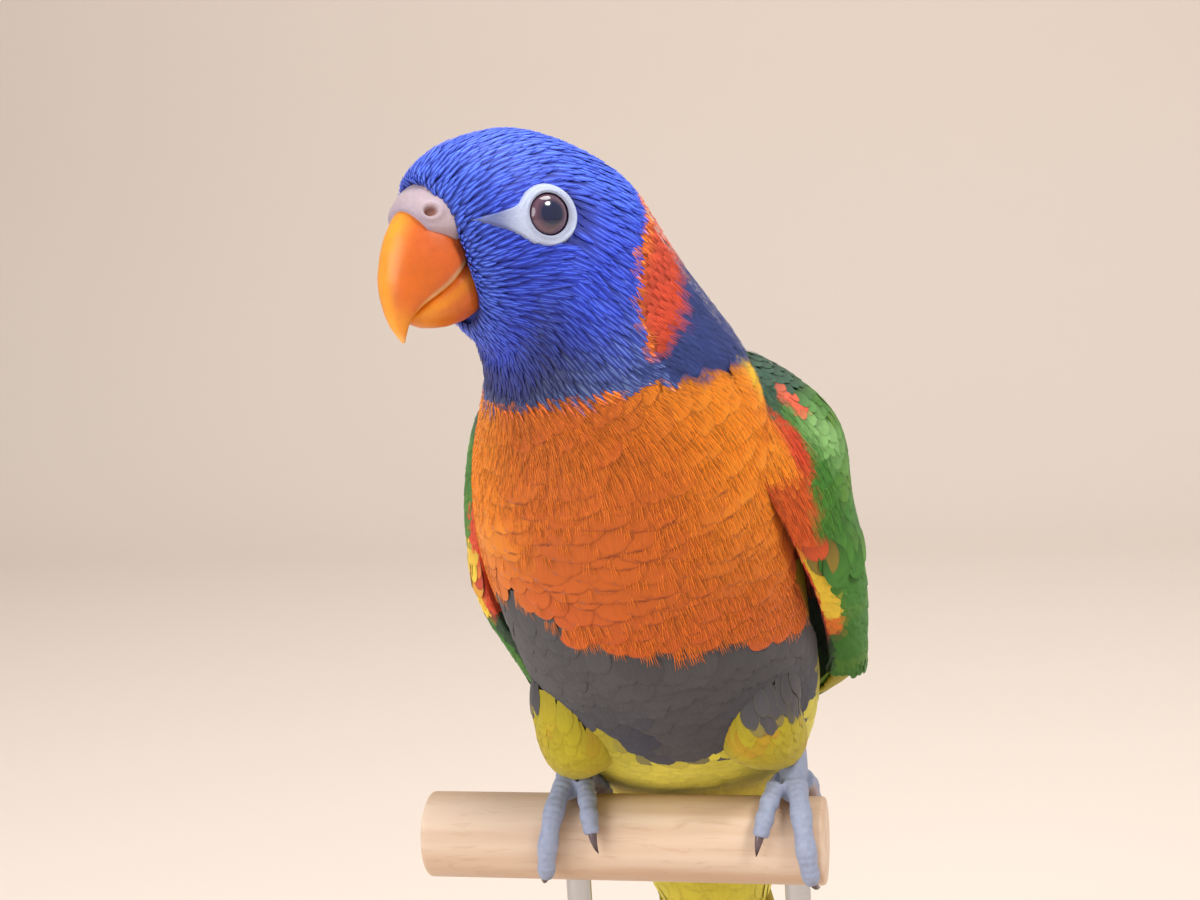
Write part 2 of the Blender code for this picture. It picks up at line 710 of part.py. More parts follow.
def main():
    ground, trunk_frame, head_frame = bird_frames()
    pieces, body_room = body(trunk_frame)
    head_pieces(pieces["head"], head_frame)
    cut(tail(trunk_frame), body_room)
    dowel = perch()
    for side, sign in (("left", 1), ("right", -1)):
        cut(wing(side, sign, trunk_frame), body_room)
        upper_leg = thigh(side, sign, trunk_frame)
        upper_leg_room = grown(upper_leg)
        cut(upper_leg, body_room)
        leg(side, sign, ground, upper_leg_room, body_room)
    stand(dowel)


clear_scene()
PARTS = collection("lorikeet")
CUTTERS = collection("cutters")
main()
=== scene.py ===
import math

import bmesh
import bpy
import numpy as np
from mathutils import Matrix, Vector, noise
from mathutils.bvhtree import BVHTree
from mathutils.kdtree import KDTree

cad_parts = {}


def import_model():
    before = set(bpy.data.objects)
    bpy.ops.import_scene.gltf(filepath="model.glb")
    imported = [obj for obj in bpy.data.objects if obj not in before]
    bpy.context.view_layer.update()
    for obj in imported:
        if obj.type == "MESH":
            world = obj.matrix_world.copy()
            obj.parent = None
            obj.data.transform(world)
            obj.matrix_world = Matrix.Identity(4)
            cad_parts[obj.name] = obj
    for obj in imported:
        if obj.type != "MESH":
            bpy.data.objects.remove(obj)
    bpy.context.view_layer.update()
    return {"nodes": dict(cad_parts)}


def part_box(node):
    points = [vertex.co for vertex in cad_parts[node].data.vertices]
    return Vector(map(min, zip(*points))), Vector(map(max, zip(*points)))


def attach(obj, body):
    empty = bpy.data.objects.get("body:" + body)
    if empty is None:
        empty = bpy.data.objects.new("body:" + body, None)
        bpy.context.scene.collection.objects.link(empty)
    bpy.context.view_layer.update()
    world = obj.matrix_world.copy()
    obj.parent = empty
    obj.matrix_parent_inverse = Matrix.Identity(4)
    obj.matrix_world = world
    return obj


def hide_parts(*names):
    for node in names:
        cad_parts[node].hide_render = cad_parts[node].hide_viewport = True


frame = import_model()
nodes = frame["nodes"]
mm = 0.001


# small helpers
def paint(red, green, blue):  # a colour as a painter reads it, 0 to 255, made linear
    parts = np.array([red, green, blue], float) / 255
    return np.where(parts < 0.04045, parts / 12.92, ((parts + 0.055) / 1.055) ** 2.4)


def ease(low, high, value):  # 0 below low, 1 above high, smooth between
    t = np.clip((value - low) / (high - low), 0, 1)
    return t * t * (3 - 2 * t)


def mixed(first, second, share):  # colours or places, one share for each row
    return first + (second - first) * np.asarray(share)[..., None]


def layered(paints, first, *layers):  # colours, named or in rows, laid one over another, each followed by its share
    tint, *others = (paints[colour] if isinstance(colour, str) else colour for colour in (first, *layers[::2]))
    for colour, share in zip(others, layers[1::2]):
        tint = mixed(tint, colour, share)
    return tint


def ripple(points, size, seed=0):  # smooth noise, about -1 to 1, one value a point
    shift = Vector((seed * 7.3, seed * 3.1, seed * 5.7))
    return np.array([noise.noise(Vector(p) / size + shift) for p in points])


def alongRows(rows, at):  # Catmull-Rom through rows of numbers, at many places
    rows = np.asarray(rows, float)
    at = np.asarray(at, float)
    last = len(rows) - 1
    i = np.clip(at.astype(int), 0, last - 1)
    t = (at - i)[..., None]
    before, start, end, after = rows[np.maximum(i - 1, 0)], rows[i], rows[i + 1], rows[np.minimum(i + 2, last)]
    slope, square = end - before, 2 * before - 5 * start + 4 * end - after
    cube = 3 * start - before - 3 * end + after
    return 0.5 * (2 * start + slope * t + square * t**2 + cube * t**3)


def spun(points, degrees):  # turned about the vertical, each point by its own angle
    a = np.radians(degrees)
    x, y, z = points[..., 0], points[..., 1], points[..., 2]
    return np.stack([x * np.cos(a) - y * np.sin(a), x * np.sin(a) + y * np.cos(a), z], -1)


def unit(vectors):
    return vectors / np.maximum(np.linalg.norm(vectors, axis=-1, keepdims=True), 1e-12)


def plainMesh(name, points, faces):
    mesh = bpy.data.meshes.new(name)
    mesh.from_pydata(np.asarray(points).tolist(), [], faces)
    mesh.update()
    return mesh


def joinedMesh(name, meshes):
    bm = bmesh.new()
    for mesh in meshes:
        bm.from_mesh(mesh)
    return filledMesh(name, bm)


def filledMesh(name, bm):
    mesh = bpy.data.meshes.new(name)
    bm.to_mesh(mesh)
    bm.free()
    return mesh


def addPiece(name, mesh):
    piece = bpy.data.objects.new(name, mesh)
    bpy.context.scene.collection.objects.link(piece)
    return piece


def gridFaces(rows, columns, closed=True):  # quads over a grid of points, wrapping round if closed
    faces = []
    for i in range(rows - 1):
        for j in range(columns if closed else columns - 1):
            k = (j + 1) % columns
            faces.append((i * columns + j, i * columns + k, (i + 1) * columns + k, (i + 1) * columns + j))
    return faces


def tubeMesh(name, grid):  # rings of points, closed by a point at each end
    rows, columns = grid.shape[:2]
    points = np.concatenate([grid.reshape(-1, 3), grid[:1].mean(1), grid[-1:].mean(1)])
    faces = gridFaces(rows, columns)
    first, last = rows * columns, rows * columns + 1
    for j in range(columns):
        k = (j + 1) % columns
        faces.append((first, k, j))
        faces.append((last, (rows - 1) * columns + j, (rows - 1) * columns + k))
    mesh = plainMesh(name, points, faces)
    outwards(mesh)
    return mesh


def outwards(mesh):
    bm = bmesh.new()
    bm.from_mesh(mesh)
    bmesh.ops.recalc_face_normals(bm, faces=bm.faces)
    bm.to_mesh(mesh)
    bm.free()


def onVertices(mesh, what="co"):  # places or normals
    flat = np.empty(len(mesh.vertices) * 3)
    mesh.vertices.foreach_get(what, flat)
    return flat.reshape(-1, 3)


def moved(mesh, offset):
    mesh.vertices.foreach_set("co", (onVertices(mesh) + offset).ravel())
    mesh.update()
    return mesh


def keep(mesh, **values):  # stores a number, a vector or, as tint, a colour for each vertex
    for name, rows in values.items():
        rows = np.asarray(rows, float)
        kind, field = ("FLOAT", "value") if rows.ndim == 1 else ("FLOAT_VECTOR", "vector")
        if name == "tint":
            kind, field = "FLOAT_COLOR", "color"
            rows = np.column_stack([rows, np.ones(len(rows))])
        mesh.attributes.new(name, kind, "POINT").data.foreach_set(field, rows.ravel())


def treeOf(mesh):
    places = [Vector(place) for place in onVertices(mesh)]
    return BVHTree.FromPolygons(places, [tuple(face.vertices) for face in mesh.polygons])


def settled(piece):  # the piece's evaluated mesh in its place, with no modifier left
    bpy.context.view_layer.update()
    graph = bpy.context.evaluated_depsgraph_get()
    mesh = bpy.data.meshes.new_from_object(piece.evaluated_get(graph))
    piece.modifiers.clear()
    piece.data = mesh
    return piece


def remeshed(name, meshes, voxel, smoothing):  # one closed surface round several that overlap
    piece = addPiece(name, joinedMesh(name, meshes))
    modifier = piece.modifiers.new("remesh", "REMESH")
    modifier.mode = "VOXEL"
    modifier.voxel_size = voxel
    modifier.use_smooth_shade = True
    relax = piece.modifiers.new("relax", "SMOOTH")
    relax.factor = 0.5
    relax.iterations = smoothing
    return settled(piece)


# shader and geometry boards
class Wire:  # a socket that can be used in sums
    def __init__(self, board, socket):
        self.board, self.socket = board, socket

    def maths(self, operation, *values):
        return self.board.add("ShaderNodeMath", {"operation": operation}, dict(enumerate(values)))

    def __add__(self, other):
        return self.maths("ADD", self, other)

    def __sub__(self, other):
        return self.maths("SUBTRACT", self, other)

    def __rsub__(self, other):
        return self.maths("SUBTRACT", other, self)

    def __mul__(self, other):
        return self.maths("MULTIPLY", self, other)

    def __rtruediv__(self, other):
        return self.maths("DIVIDE", other, self)

    __radd__, __rmul__ = __add__, __mul__

    def size(self):
        return self.maths("ABSOLUTE", self)

    def limited(self):
        return self.board.add("ShaderNodeClamp", {}, {"Value": self})

    def between(self, low, high):  # 0 below low, 1 above high
        settings = {"interpolation_type": "SMOOTHSTEP"}
        return self.board.add("ShaderNodeMapRange", settings, {0: self, 1: low, 2: high, 3: 0.0, 4: 1.0})


class Board:  # a node tree being filled
    def __init__(self, tree):
        self.tree = tree

    def add(self, kind, settings=None, values=None, out=0):
        node = self.tree.nodes.new(kind)
        for name, value in (settings or {}).items():
            setattr(node, name, value)
        for name, value in (values or {}).items():
            self.join(value, node.inputs[name])
        return Wire(self, node.outputs[out])

    def join(self, value, socket):
        if isinstance(value, Wire):
            self.tree.links.new(value.socket, socket)
        elif socket.type == "RGBA" and len(value) == 3:
            socket.default_value = (*value, 1)
        else:
            socket.default_value = value

    def part(self, wire, out):  # another output of the same node
        return Wire(self, wire.socket.node.outputs[out])

    def blend(self, share, first, second):  # two colours
        return self.add("ShaderNodeMix", {"data_type": "RGBA"}, {0: share, 6: first, 7: second}, out=2)

    def vector(self, operation, *values):
        return self.add("ShaderNodeVectorMath", {"operation": operation}, dict(enumerate(values)))

    def scaled(self, vector, size):
        return self.add("ShaderNodeVectorMath", {"operation": "SCALE"}, {0: vector, 3: size})

    def joined(self, x, y, z):
        return self.add("ShaderNodeCombineXYZ", {}, {0: x, 1: y, 2: z})

    def noise(self, where, scale, detail, roughness=0.5):
        values = {"Vector": where, "Scale": scale, "Detail": detail, "Roughness": roughness}
        return self.add("ShaderNodeTexNoise", {}, values)

    def kept(self, name, out=0):  # what the mesh keeps under this name
        return self.add("ShaderNodeAttribute", {"attribute_name": name}, out=out)

    def place(self):  # Object coordinates
        return self.add("ShaderNodeTexCoord", out=3)


class Finish(Board):  # a Principled material, its constant sockets set
    def __init__(self, name, fixed):
        self.material = bpy.data.materials.new(name)
        self.material.use_nodes = True
        super().__init__(self.material.node_tree)
        self.give(fixed)

    def give(self, values):
        for socket, value in values.items():
            self.join(value, self.tree.nodes["Principled BSDF"].inputs[socket])

    def bump(self, strength, distance, height):
        values = {"Strength": strength, "Distance": distance, "Height": height}
        self.give({"Normal": self.add("ShaderNodeBump", {}, values)})


# camera
viewPoint = {"turn": 12, "height": 9, "roll": -3.5, "distance": 345, "lens": 52.5, "sensor": 36}
viewPoint["aim"] = (16.166, 68.406)  # right of and above the view's middle, where the dowel's top stands, in mm


def makeCamera():
    v = viewPoint
    a, e, r = (math.radians(v[k]) for k in ("turn", "height", "roll"))
    back = Vector((math.sin(a) * math.cos(e), -math.cos(a) * math.cos(e), math.sin(e)))
    level = (-back).cross(Vector((0, 0, 1))).normalized()
    upright = level.cross(-back)
    right = level * math.cos(r) + upright * math.sin(r)
    up = upright * math.cos(r) - level * math.sin(r)
    place = back * v["distance"] - right * v["aim"][0] + up * v["aim"][1]
    data = bpy.data.cameras.new("view")
    data.sensor_width = v["sensor"]
    data.lens = v["lens"]
    data.clip_start = 0.01
    camera = addPiece("view", data)
    matrix = Matrix((right, up, back)).transposed().to_4x4()
    matrix.translation = place * mm + Vector((0, 0, bodyLine["perchTop"] * mm))
    camera.matrix_world = matrix
    bpy.context.scene.camera = camera


# the bird's form: lines that the skin and the lie of the feathers follow
bodyLine = {
    "perchTop": 140, "perchRadius": 8.5, "lean": -3.4, "chestTurn": -12, "headTurn": -29, "headNod": 3.5,
    "neckPivot": 28, "eyeAt": (38.4, 117),
    # back (forward, up), belly (forward, up), half width, where it is widest, share of chest turn and head turn
    "head": [  # from the line between the eyes
        (14.4, 3.1, 9.5, -14.2, 5.0, 0.52, 1, 1.0),
        (17.9, 6.9, 8.6, -18.0, 8.2, 0.52, 1, 1.0),
        (13.2, 11.3, 6.6, -20.4, 10.4, 0.5, 1, 1.0),
        (6.4, 13.9, 4.6, -22.2, 12.2, 0.47, 1, 1.0),
        (-3.0, 15.0, 2.8, -24.0, 13.7, 0.46, 1, 1.0),
        (-13.8, 12.2, 2.4, -26.4, 15.8, 0.5, 1, 1.0),
        (-23.8, 6.4, 1.6, -29.0, 17.6, 0.52, 1, 0.97),
        (-30.4, -3.6, 1.2, -32.2, 19.6, 0.5, 1, 0.85),
    ],
    "trunk": [  # from the top of the dowel
        (3.2, 103.4, 39.8, 82.0, 22.4, 0.48, 1, 0.6),
        (-5.0, 93.5, 38.8, 74.5, 26.0, 0.46, 1, 0.3),
        (-13.0, 81.5, 38.2, 65.0, 29.0, 0.46, 1, 0.1),
        (-21.5, 67.0, 36.0, 52.0, 30.6, 0.47, 1, 0),
        (-28.5, 51.5, 31.0, 38.5, 30.4, 0.48, 0.8, 0),
        (-33.0, 36.0, 23.0, 25.0, 29.2, 0.5, 0.55, 0),
        (-36.0, 20.5, 12.5, 11.5, 27.4, 0.5, 0.3, 0),
        (-37.5, 6.0, 0.0, 2.2, 24.0, 0.5, 0, 0),
        (-38.5, -8.0, -11.5, -6.0, 19.5, 0.5, -0.15, 0),
        (-40.5, -21.0, -18.5, -19.5, 16.0, 0.5, -0.3, 0),
        (-44.0, -33.0, -27.5, -34.0, 12.5, 0.5, -0.3, 0),
        (-47.0, -43.0, -36.5, -45.5, 7.5, 0.5, -0.3, 0),
    ],
}


def bodyRows():
    rows = []
    for f1, u1, f2, u2, width, widest, chest, head in bodyLine["head"]:
        nod = Matrix.Rotation(math.radians(bodyLine["headNod"]) * head, 2)
        eye = Vector(bodyLine["eyeAt"])
        rows.append((*(eye + nod @ Vector((f1, u1))), *(eye + nod @ Vector((f2, u2))), width, widest, chest, head))
    return np.array(rows + bodyLine["trunk"], float)


bodyRowsFound = bodyRows()


def standing(points, chest, head=0.0):  # millimetres of the straight bird to metres of the posed one
    pivot = np.array([0, -bodyLine["neckPivot"], 0])
    points = pivot + spun(points - pivot, bodyLine["headTurn"] * head)
    points = spun(points, bodyLine["chestTurn"] * chest)
    a = math.radians(bodyLine["lean"])
    x, y, z = points[..., 0], points[..., 1], points[..., 2]
    leaned = [x * math.cos(a) + z * math.sin(a), y, z * math.cos(a) - x * math.sin(a) + bodyLine["perchTop"]]
    return np.stack(leaned, -1) * mm


def ovalRing(row, around):  # middle and surface of sections: back, belly, half width and where it is widest
    zero = 0 * row[:, 0]
    top = np.stack([zero, -row[:, 0], row[:, 1]], -1)
    bottom = np.stack([zero, -row[:, 2], row[:, 3]], -1)
    middle = mixed(top, bottom, row[:, 5])
    a = np.radians(around)
    reach = np.where((np.cos(a) > 0)[:, None], top, bottom) - middle
    sideways = np.stack([row[:, 4] * np.sin(a), zero, zero], -1)
    return middle, middle + reach * np.abs(np.cos(a))[:, None] + sideways


def bodyPoint(along, around):  # along in stations from the bill, around in degrees from the back to the left
    row = alongRows(bodyRowsFound, along)
    return standing(ovalRing(row, around)[1], row[:, 6], row[:, 7])


def rotation(degrees, axis, size=4):
    return Matrix.Rotation(math.radians(degrees), size, axis)


pivotShift = Matrix.Translation((0, bodyLine["neckPivot"], 0))
neckTurn = Matrix.Translation((0, -bodyLine["neckPivot"], 0)) @ rotation(bodyLine["headTurn"], "Z") @ pivotShift
eyeLine = neckTurn @ Vector((0, -bodyLine["eyeAt"][0], bodyLine["eyeAt"][1]))
headFrame = Matrix.Translation((0, 0, bodyLine["perchTop"] * mm)) @ rotation(bodyLine["lean"], "Y")
headFrame @= Matrix.Translation(rotation(bodyLine["chestTurn"], "Z", 3) @ eyeLine * mm)
headFrame @= rotation(bodyLine["chestTurn"] + bodyLine["headTurn"], "Z")
headFrame @= rotation(-bodyLine["headNod"], "X")
headTurned = np.array(headFrame.to_3x3())
headPlace = np.array(headFrame.translation)


def onHead(points):  # head millimetres (left, back, up) to metres of the posed bird
    return np.asarray(points) * mm @ headTurned.T + headPlace


# left wing: leading edge, crest, trailing edge as (left, forward, up), thickness, share of the chest's turn
wingLine = [
    (20.6, 10.0, 84.0, 22.6, 2.0, 86.6, 18.0, -4.0, 87.5, 3.5, 1),
    (24.5, 13.0, 77.0, 28.6, -1.0, 81.0, 14.0, -11.5, 85.0, 7.0, 1),
    (28.0, 15.5, 67.0, 33.0, -7.0, 72.0, 11.0, -17.5, 79.5, 9.0, 1),
    (31.0, 12.5, 55.0, 32.8, -9.5, 59.5, 8.0, -25.5, 67.0, 9.0, 0.9),
    (32.6, 6.0, 41.0, 32.6, -14.0, 45.5, 6.0, -32.0, 54.0, 8.5, 0.7),
    (31.0, -5.0, 29.0, 31.2, -20.0, 32.0, 5.0, -36.5, 41.0, 7.5, 0.5),
    (28.0, -16.0, 18.5, 29.0, -27.5, 19.5, 4.4, -39.5, 27.0, 6.0, 0.3),
    (19.5, -29.5, 6.0, 17.5, -38.5, 8.0, 4.0, -42.0, 12.0, 4.0, 0.15),
    (14.0, -37.5, -10.0, 12.2, -43.6, -8.5, 3.6, -44.0, -7.0, 3.0, 0),
    (10.5, -44.0, -29.0, 9.2, -48.0, -28.0, 3.8, -48.6, -27.0, 2.0, -0.2),
    (8.0, -51.4, -47.0, 7.2, -52.4, -46.8, 5.8, -52.8, -46.5, 0.8, -0.3),
]


# across runs from the leading edge 0 to the trailing edge 1; out is 1 on the outer face, -1 on the inner
def wingPoint(sign, along, across, out=1.0):
    row = alongRows(wingLine, along)
    lead, crest, trail = row[:, 0:3], row[:, 3:6], row[:, 6:9]
    middle = (lead + trail) / 2
    bend = 2 * crest - middle
    t = np.asarray(across, float)[:, None]
    place = lead * (1 - t) ** 2 + bend * 2 * t * (1 - t) + trail * t * t
    bulge = np.sqrt(np.clip(1 - (2 * t - 1) ** 2, 0, 1))
    half = np.maximum(row[:, 9:10] * (0.25 + 0.75 * bulge), 0.5) / 2
    place = place + unit(crest - middle) * half * np.asarray(out).reshape(-1, 1)
    return standing(place * np.array([sign, -1, 1]), row[:, 10])


# left thigh: centre (left, forward, up) and radius
thighLine = [
    (12.5, 1.5, 33.0, 9.5), (15.5, 5.0, 25.0, 11.0), (16.9, 5.6, 17.5, 9.6), (19.6, 1.0, 12.0, 7.2),
    (21.0, -3.6, 9.2, 4.4),
]


def thighPoint(sign, along, around, grow=0.0):
    row = alongRows(thighLine, along)
    ahead = alongRows(thighLine, np.minimum(along + 0.05, 4)) - alongRows(thighLine, np.maximum(along - 0.05, 0))
    mirror = np.array([sign, -1, 1])
    centre = row[:, :3] * mirror
    ahead = unit(ahead[:, :3] * mirror)
    side = unit(np.cross(ahead, [1.0, 0, 0]))
    other = np.cross(ahead, side)
    a = np.radians(around)[:, None]
    return standing(centre + (side * np.cos(a) + other * np.sin(a)) * (row[:, 3:4] + grow), 0.0)


# markings: one rule for skin and coat
coatPaint = {
    "crown": paint(52, 84, 224), "face": paint(56, 84, 212), "cheek": paint(38, 62, 202),
    "throat": paint(22, 35, 120), "chin": paint(25, 30, 72), "hindneck": paint(60, 77, 146),
    "collar": paint(236, 84, 50), "collarFringe": paint(242, 136, 40), "breast": paint(188, 88, 18),
    "breastSide": paint(228, 134, 24), "breastRim": paint(196, 82, 26), "breastRed": paint(206, 58, 38),
    "yellowEdge": paint(232, 196, 46), "flank": paint(230, 214, 56), "belly": paint(76, 74, 77),
    "bellyCool": paint(63, 63, 73), "olive": paint(176, 160, 28), "oliveShade": paint(140, 134, 32),
    "amber": paint(196, 128, 28), "mantle": paint(44, 88, 46), "rump": paint(76, 140, 50),
    "mantleRed": paint(206, 72, 46), "undertail": paint(222, 210, 70),
}
# borders: degrees from the back, then the station where the colour changes
borders = {
    "collarTop": [(0, 6.2), (50, 6.2), (73, 6.2), (93, 6.55), (101, 7.15), (113, 7.75), (180, 9)],
    "collarEnd": [(0, 7.2), (61, 7.42), (85, 7.83), (104, 7.9), (113, 7.8), (180, 7)],
    "breastTop": [(0, 9.3), (73, 9.15), (88, 9.0), (98, 8.7), (103, 8.85), (108, 8.5), (116, 8.45), (119, 8.05),
                  (125, 8.1), (140, 7.9), (148, 7.65), (160, 7.1), (172, 6.9), (180, 6.9)],
    "breastEnd": [(-180, 11.83), (-168, 11.6), (-157, 11.3), (-130, 11.3), (-90, 11.9), (0, 12.2), (90, 12.45),
                  (108, 12.42), (126, 12.2), (141, 12.05), (154, 12.0), (165, 11.92), (180, 11.83)],
    "bellyEnd": [(-180, 14.0), (-172, 13.9), (-165, 13.6), (-159, 13.25), (-139, 13.1), (-100, 13.3), (-80, 12.6),
                 (0, 12.6), (80, 12.6), (99, 13.7), (118, 14.0), (133, 13.75), (147, 13.6), (154, 13.9),
                 (163, 14.08), (180, 13.9)],
    "mantleSide": [(0, 9.2), (180, 9.2)],
}


def border(name, around):
    keys = np.array(borders[name], float)
    signed = keys[0, 0] < 0
    return np.interp(around if signed else np.abs(around), keys[:, 0], keys[:, 1])


def bodyTint(along, around, places, soft=0.05):  # the colour of the coat at each place of the body
    away = np.abs(around)
    wave = ripple(places, 5 * mm, 1) * 0.5 + ripple(places, 2 * mm, 2) * 0.35
    fine = ripple(places, 9 * mm, 3)
    u = along + wave * 0.16

    def after(name):
        return ease(-soft, soft, u - border(name, around))

    def before(name):
        return ease(soft, -soft, u - border(name, around))

    fringe = ease(0.5, 0.0, u - border("collarTop", around) + wave * 0.2)
    collar = layered(coatPaint, "collar", "collarFringe", fringe * 0.8)
    chest = layered(
        coatPaint, "breast",
        # painted light: the breast's sides and upper part are lighter and more golden where the light falls, more so on
        # the bird's right side
        "breastSide", ease(150, 105, away) * ease(12.4, 9.8, along),
        "breastSide", ease(-170, -140, around) * (around < 0) * 0.85,
        "breastRim", ease(0.9, 0.1, border("breastEnd", around) - along) * 0.5,
        "breastRed", ease(96, 84, away) * ease(9.7, 10.3, along) * 0.9,
        "yellowEdge", ease(86, 74, away) * ease(9.9, 9.4, along),
        "flank", ease(11.7, 11.9, u) * ease(82, 84, away) * ease(98, 95, away),
    )
    belly = layered(coatPaint, "belly", "bellyCool", ease(12.6, 13.6, along) * ease(170, 130, around))
    low = layered(coatPaint, "olive", "oliveShade", 0.5 + 0.5 * fine, "undertail", ease(13.4, 14.4, along))
    back = layered(
        coatPaint, "mantle",
        "rump", ease(11.5, 14.5, along),
        "mantleRed", ease(0.35, 0.7, fine) * ease(11.5, 9.4, along) * ease(20, 50, away),
    )
    return layered(
        coatPaint, "cheek",
        "crown", ease(75, 45, away),
        "face", ease(3.2, 1.4, along),
        "throat", ease(98, 145, away) * ease(2.4, 4.4, u),
        "chin", ease(115, 150, away) * ease(4.6, 6.6, u),
        "hindneck", ease(5.6, 8.0, u) * ease(70, 95, away) * 0.9,
        "hindneck", after("collarEnd") * ease(118, 108, away),
        collar, after("collarTop") * before("collarEnd"),
        chest * (1 + 0.10 * fine[:, None]), after("breastTop") * ease(50, 66, away),
        belly * (1 + 0.12 * fine[:, None]), after("breastEnd"),
        low, after("bellyEnd"),
        "flank", ease(12.4, 12.5, u) * ease(13.3, 13.1, u) * ease(82, 84, away) * ease(94, 91, away),
        back, ease(66 + soft * 80, 66 - soft * 80, away) * after("mantleSide"),
    )


# forms: the coat's outer surface as grids that carry the lie, size and colour of the feathers
bodyMiddleRows = standing(
    np.stack([0 * bodyRowsFound[:, 0], -bodyRowsFound[:, [0, 2]].mean(1), bodyRowsFound[:, [1, 3]].mean(1)], -1),
    bodyRowsFound[:, 6], bodyRowsFound[:, 7],
)


def bodyMiddle(along, around):
    return alongRows(bodyMiddleRows, along)


def surfaceGrid(point, middle, alongs, arounds):  # places, lie and outward direction over a grid
    u, a = (part.ravel() for part in np.meshgrid(alongs, arounds, indexing="ij"))
    places = point(u, a)
    nudge = (arounds[-1] - arounds[0]) * 0.002
    lie = unit(point(u + 0.02, a) - point(u - 0.02, a))
    outward = unit(np.cross(lie, point(u, a + nudge) - point(u, a - nudge)))
    facing = np.sign(((places - middle(u, a)) * outward).sum())
    return u, a, places, lie, outward * facing


def lengthAlong(shape):  # how far each place of a grid lies from its first row, along the surface
    steps = np.linalg.norm(np.diff(shape, axis=0), axis=2)
    return np.concatenate([np.zeros((1, shape.shape[1])), steps.cumsum(0)])


def formPiece(name, point, middle, alongs, arounds, wrap):  # what the feathers are bent to
    places, _, outward = surfaceGrid(point, middle, alongs, arounds)[2:]
    mesh = plainMesh(name, places, gridFaces(len(alongs), len(arounds), wrap))
    keep(mesh, outward=outward)
    return addPiece(name, mesh)


def nearestOf(places):  # a finder of the number of the nearest place
    tree = KDTree(len(places))
    for number, place in enumerate(places):
        tree.insert(place, number)
    tree.balance()
    return lambda place: tree.find(place)[1]


fullTurn = np.arange(-180, 180, 2.0)
bodyForm = formPiece("bodyForm", bodyPoint, bodyMiddle, np.linspace(0.05, 19, 220), fullTurn, True)
bodyTree = treeOf(bodyForm.data)
nearestOnBody = nearestOf(onVertices(bodyForm.data))


def outwardOfBody(place):
    return bodyForm.data.attributes["outward"].data[nearestOnBody(place)].vector


# one feather of each kind, 1 long and 1 wide
featherKinds = {
    # columns, rows, where it is widest, how blunt the tip, how ragged, camber, start of the rise
    "streak": {"columns": 2, "rows": 5, "widest": 0.4, "blunt": 1.35, "ragged": 0.0, "camber": 0.07, "start": 0.35},
    "scale": {"columns": 7, "rows": 7, "widest": 0.6, "blunt": 2.2, "ragged": 0.02, "camber": 0.04, "start": 0.45},
    "covert": {"columns": 6, "rows": 6, "widest": 0.55, "blunt": 1.9, "ragged": 0.01, "camber": 0.04, "start": 0.4},
    "down": {"columns": 6, "rows": 6, "widest": 0.55, "blunt": 1.9, "ragged": 0.05, "camber": 0.03, "start": 0.65},
}
barbTuft = {"strands": 5, "spread": 1.0, "strandWidth": 0.075, "rows": 3, "start": 0.75, "rise": 0.32}


def featherPiece(kind):
    f = featherKinds[kind]
    chance = np.random.default_rng(5)
    across = np.linspace(-1, 1, f["columns"] + 1)
    along = 1 - (1 - np.linspace(0, 1, f["rows"] + 1)) ** 1.7
    x, y = (part.ravel() for part in np.meshgrid(across, along))
    rag = np.tile(chance.uniform(-1, 1, len(across)), len(along)) * f["ragged"] * y**3
    tip = np.clip((y - f["widest"]) / (1 - f["widest"]), 0, 0.995)
    width = np.minimum(0.35 + 0.65 * ease(0, f["widest"], y), 1) * (1 - tip ** f["blunt"]) ** (1 / f["blunt"])
    length = y + rag
    places = np.stack([x * width * 0.5, length, 0 * x], -1)
    mesh = plainMesh(kind + "Feather", places, gridFaces(len(along), len(across), False))
    outwards(mesh)
    if mesh.polygons[0].normal.z < 0:
        mesh.flip_normals()
    keep(mesh, vane=np.stack([x, y, rag * 5], -1), rise=f["start"] + (1 - f["start"]) * y**0.8 - f["camber"] * x**2)
    return addPiece(kind + "Feather", mesh)


def barbTuftPiece():  # a few loose barbs from one root
    b = barbTuft
    chance = np.random.default_rng(9)
    places, vanes, rises, faces = [], [], [], []
    for k in range(b["strands"]):
        lean = (k / (b["strands"] - 1) - 0.5) * b["spread"]
        reach, shade = 0.7 + 0.3 * chance.random(), chance.random()
        for i in range(b["rows"] + 1):
            t = i / b["rows"]
            half = b["strandWidth"] * (1 - t**2 * 0.8) / 2
            for side in (-1, 1):
                places.append((lean * (0.35 + 0.65 * t) + side * half, t * reach, 0))
                vanes.append((lean * 2 + side * 0.1, t, shade))
                rises.append(b["start"] + b["rise"] * t + 0.05 * chance.random())
        first = k * (b["rows"] + 1) * 2
        faces += [(first + i * 2, first + i * 2 + 1, first + i * 2 + 3, first + i * 2 + 2) for i in range(b["rows"])]
    mesh = plainMesh("barbTuft", places, faces)
    keep(mesh, vane=vanes, rise=rises)
    return addPiece("barbTuft", mesh)


featherPieces = {kind: featherPiece(kind) for kind in featherKinds}
featherPieces["barbs"] = barbTuftPiece()


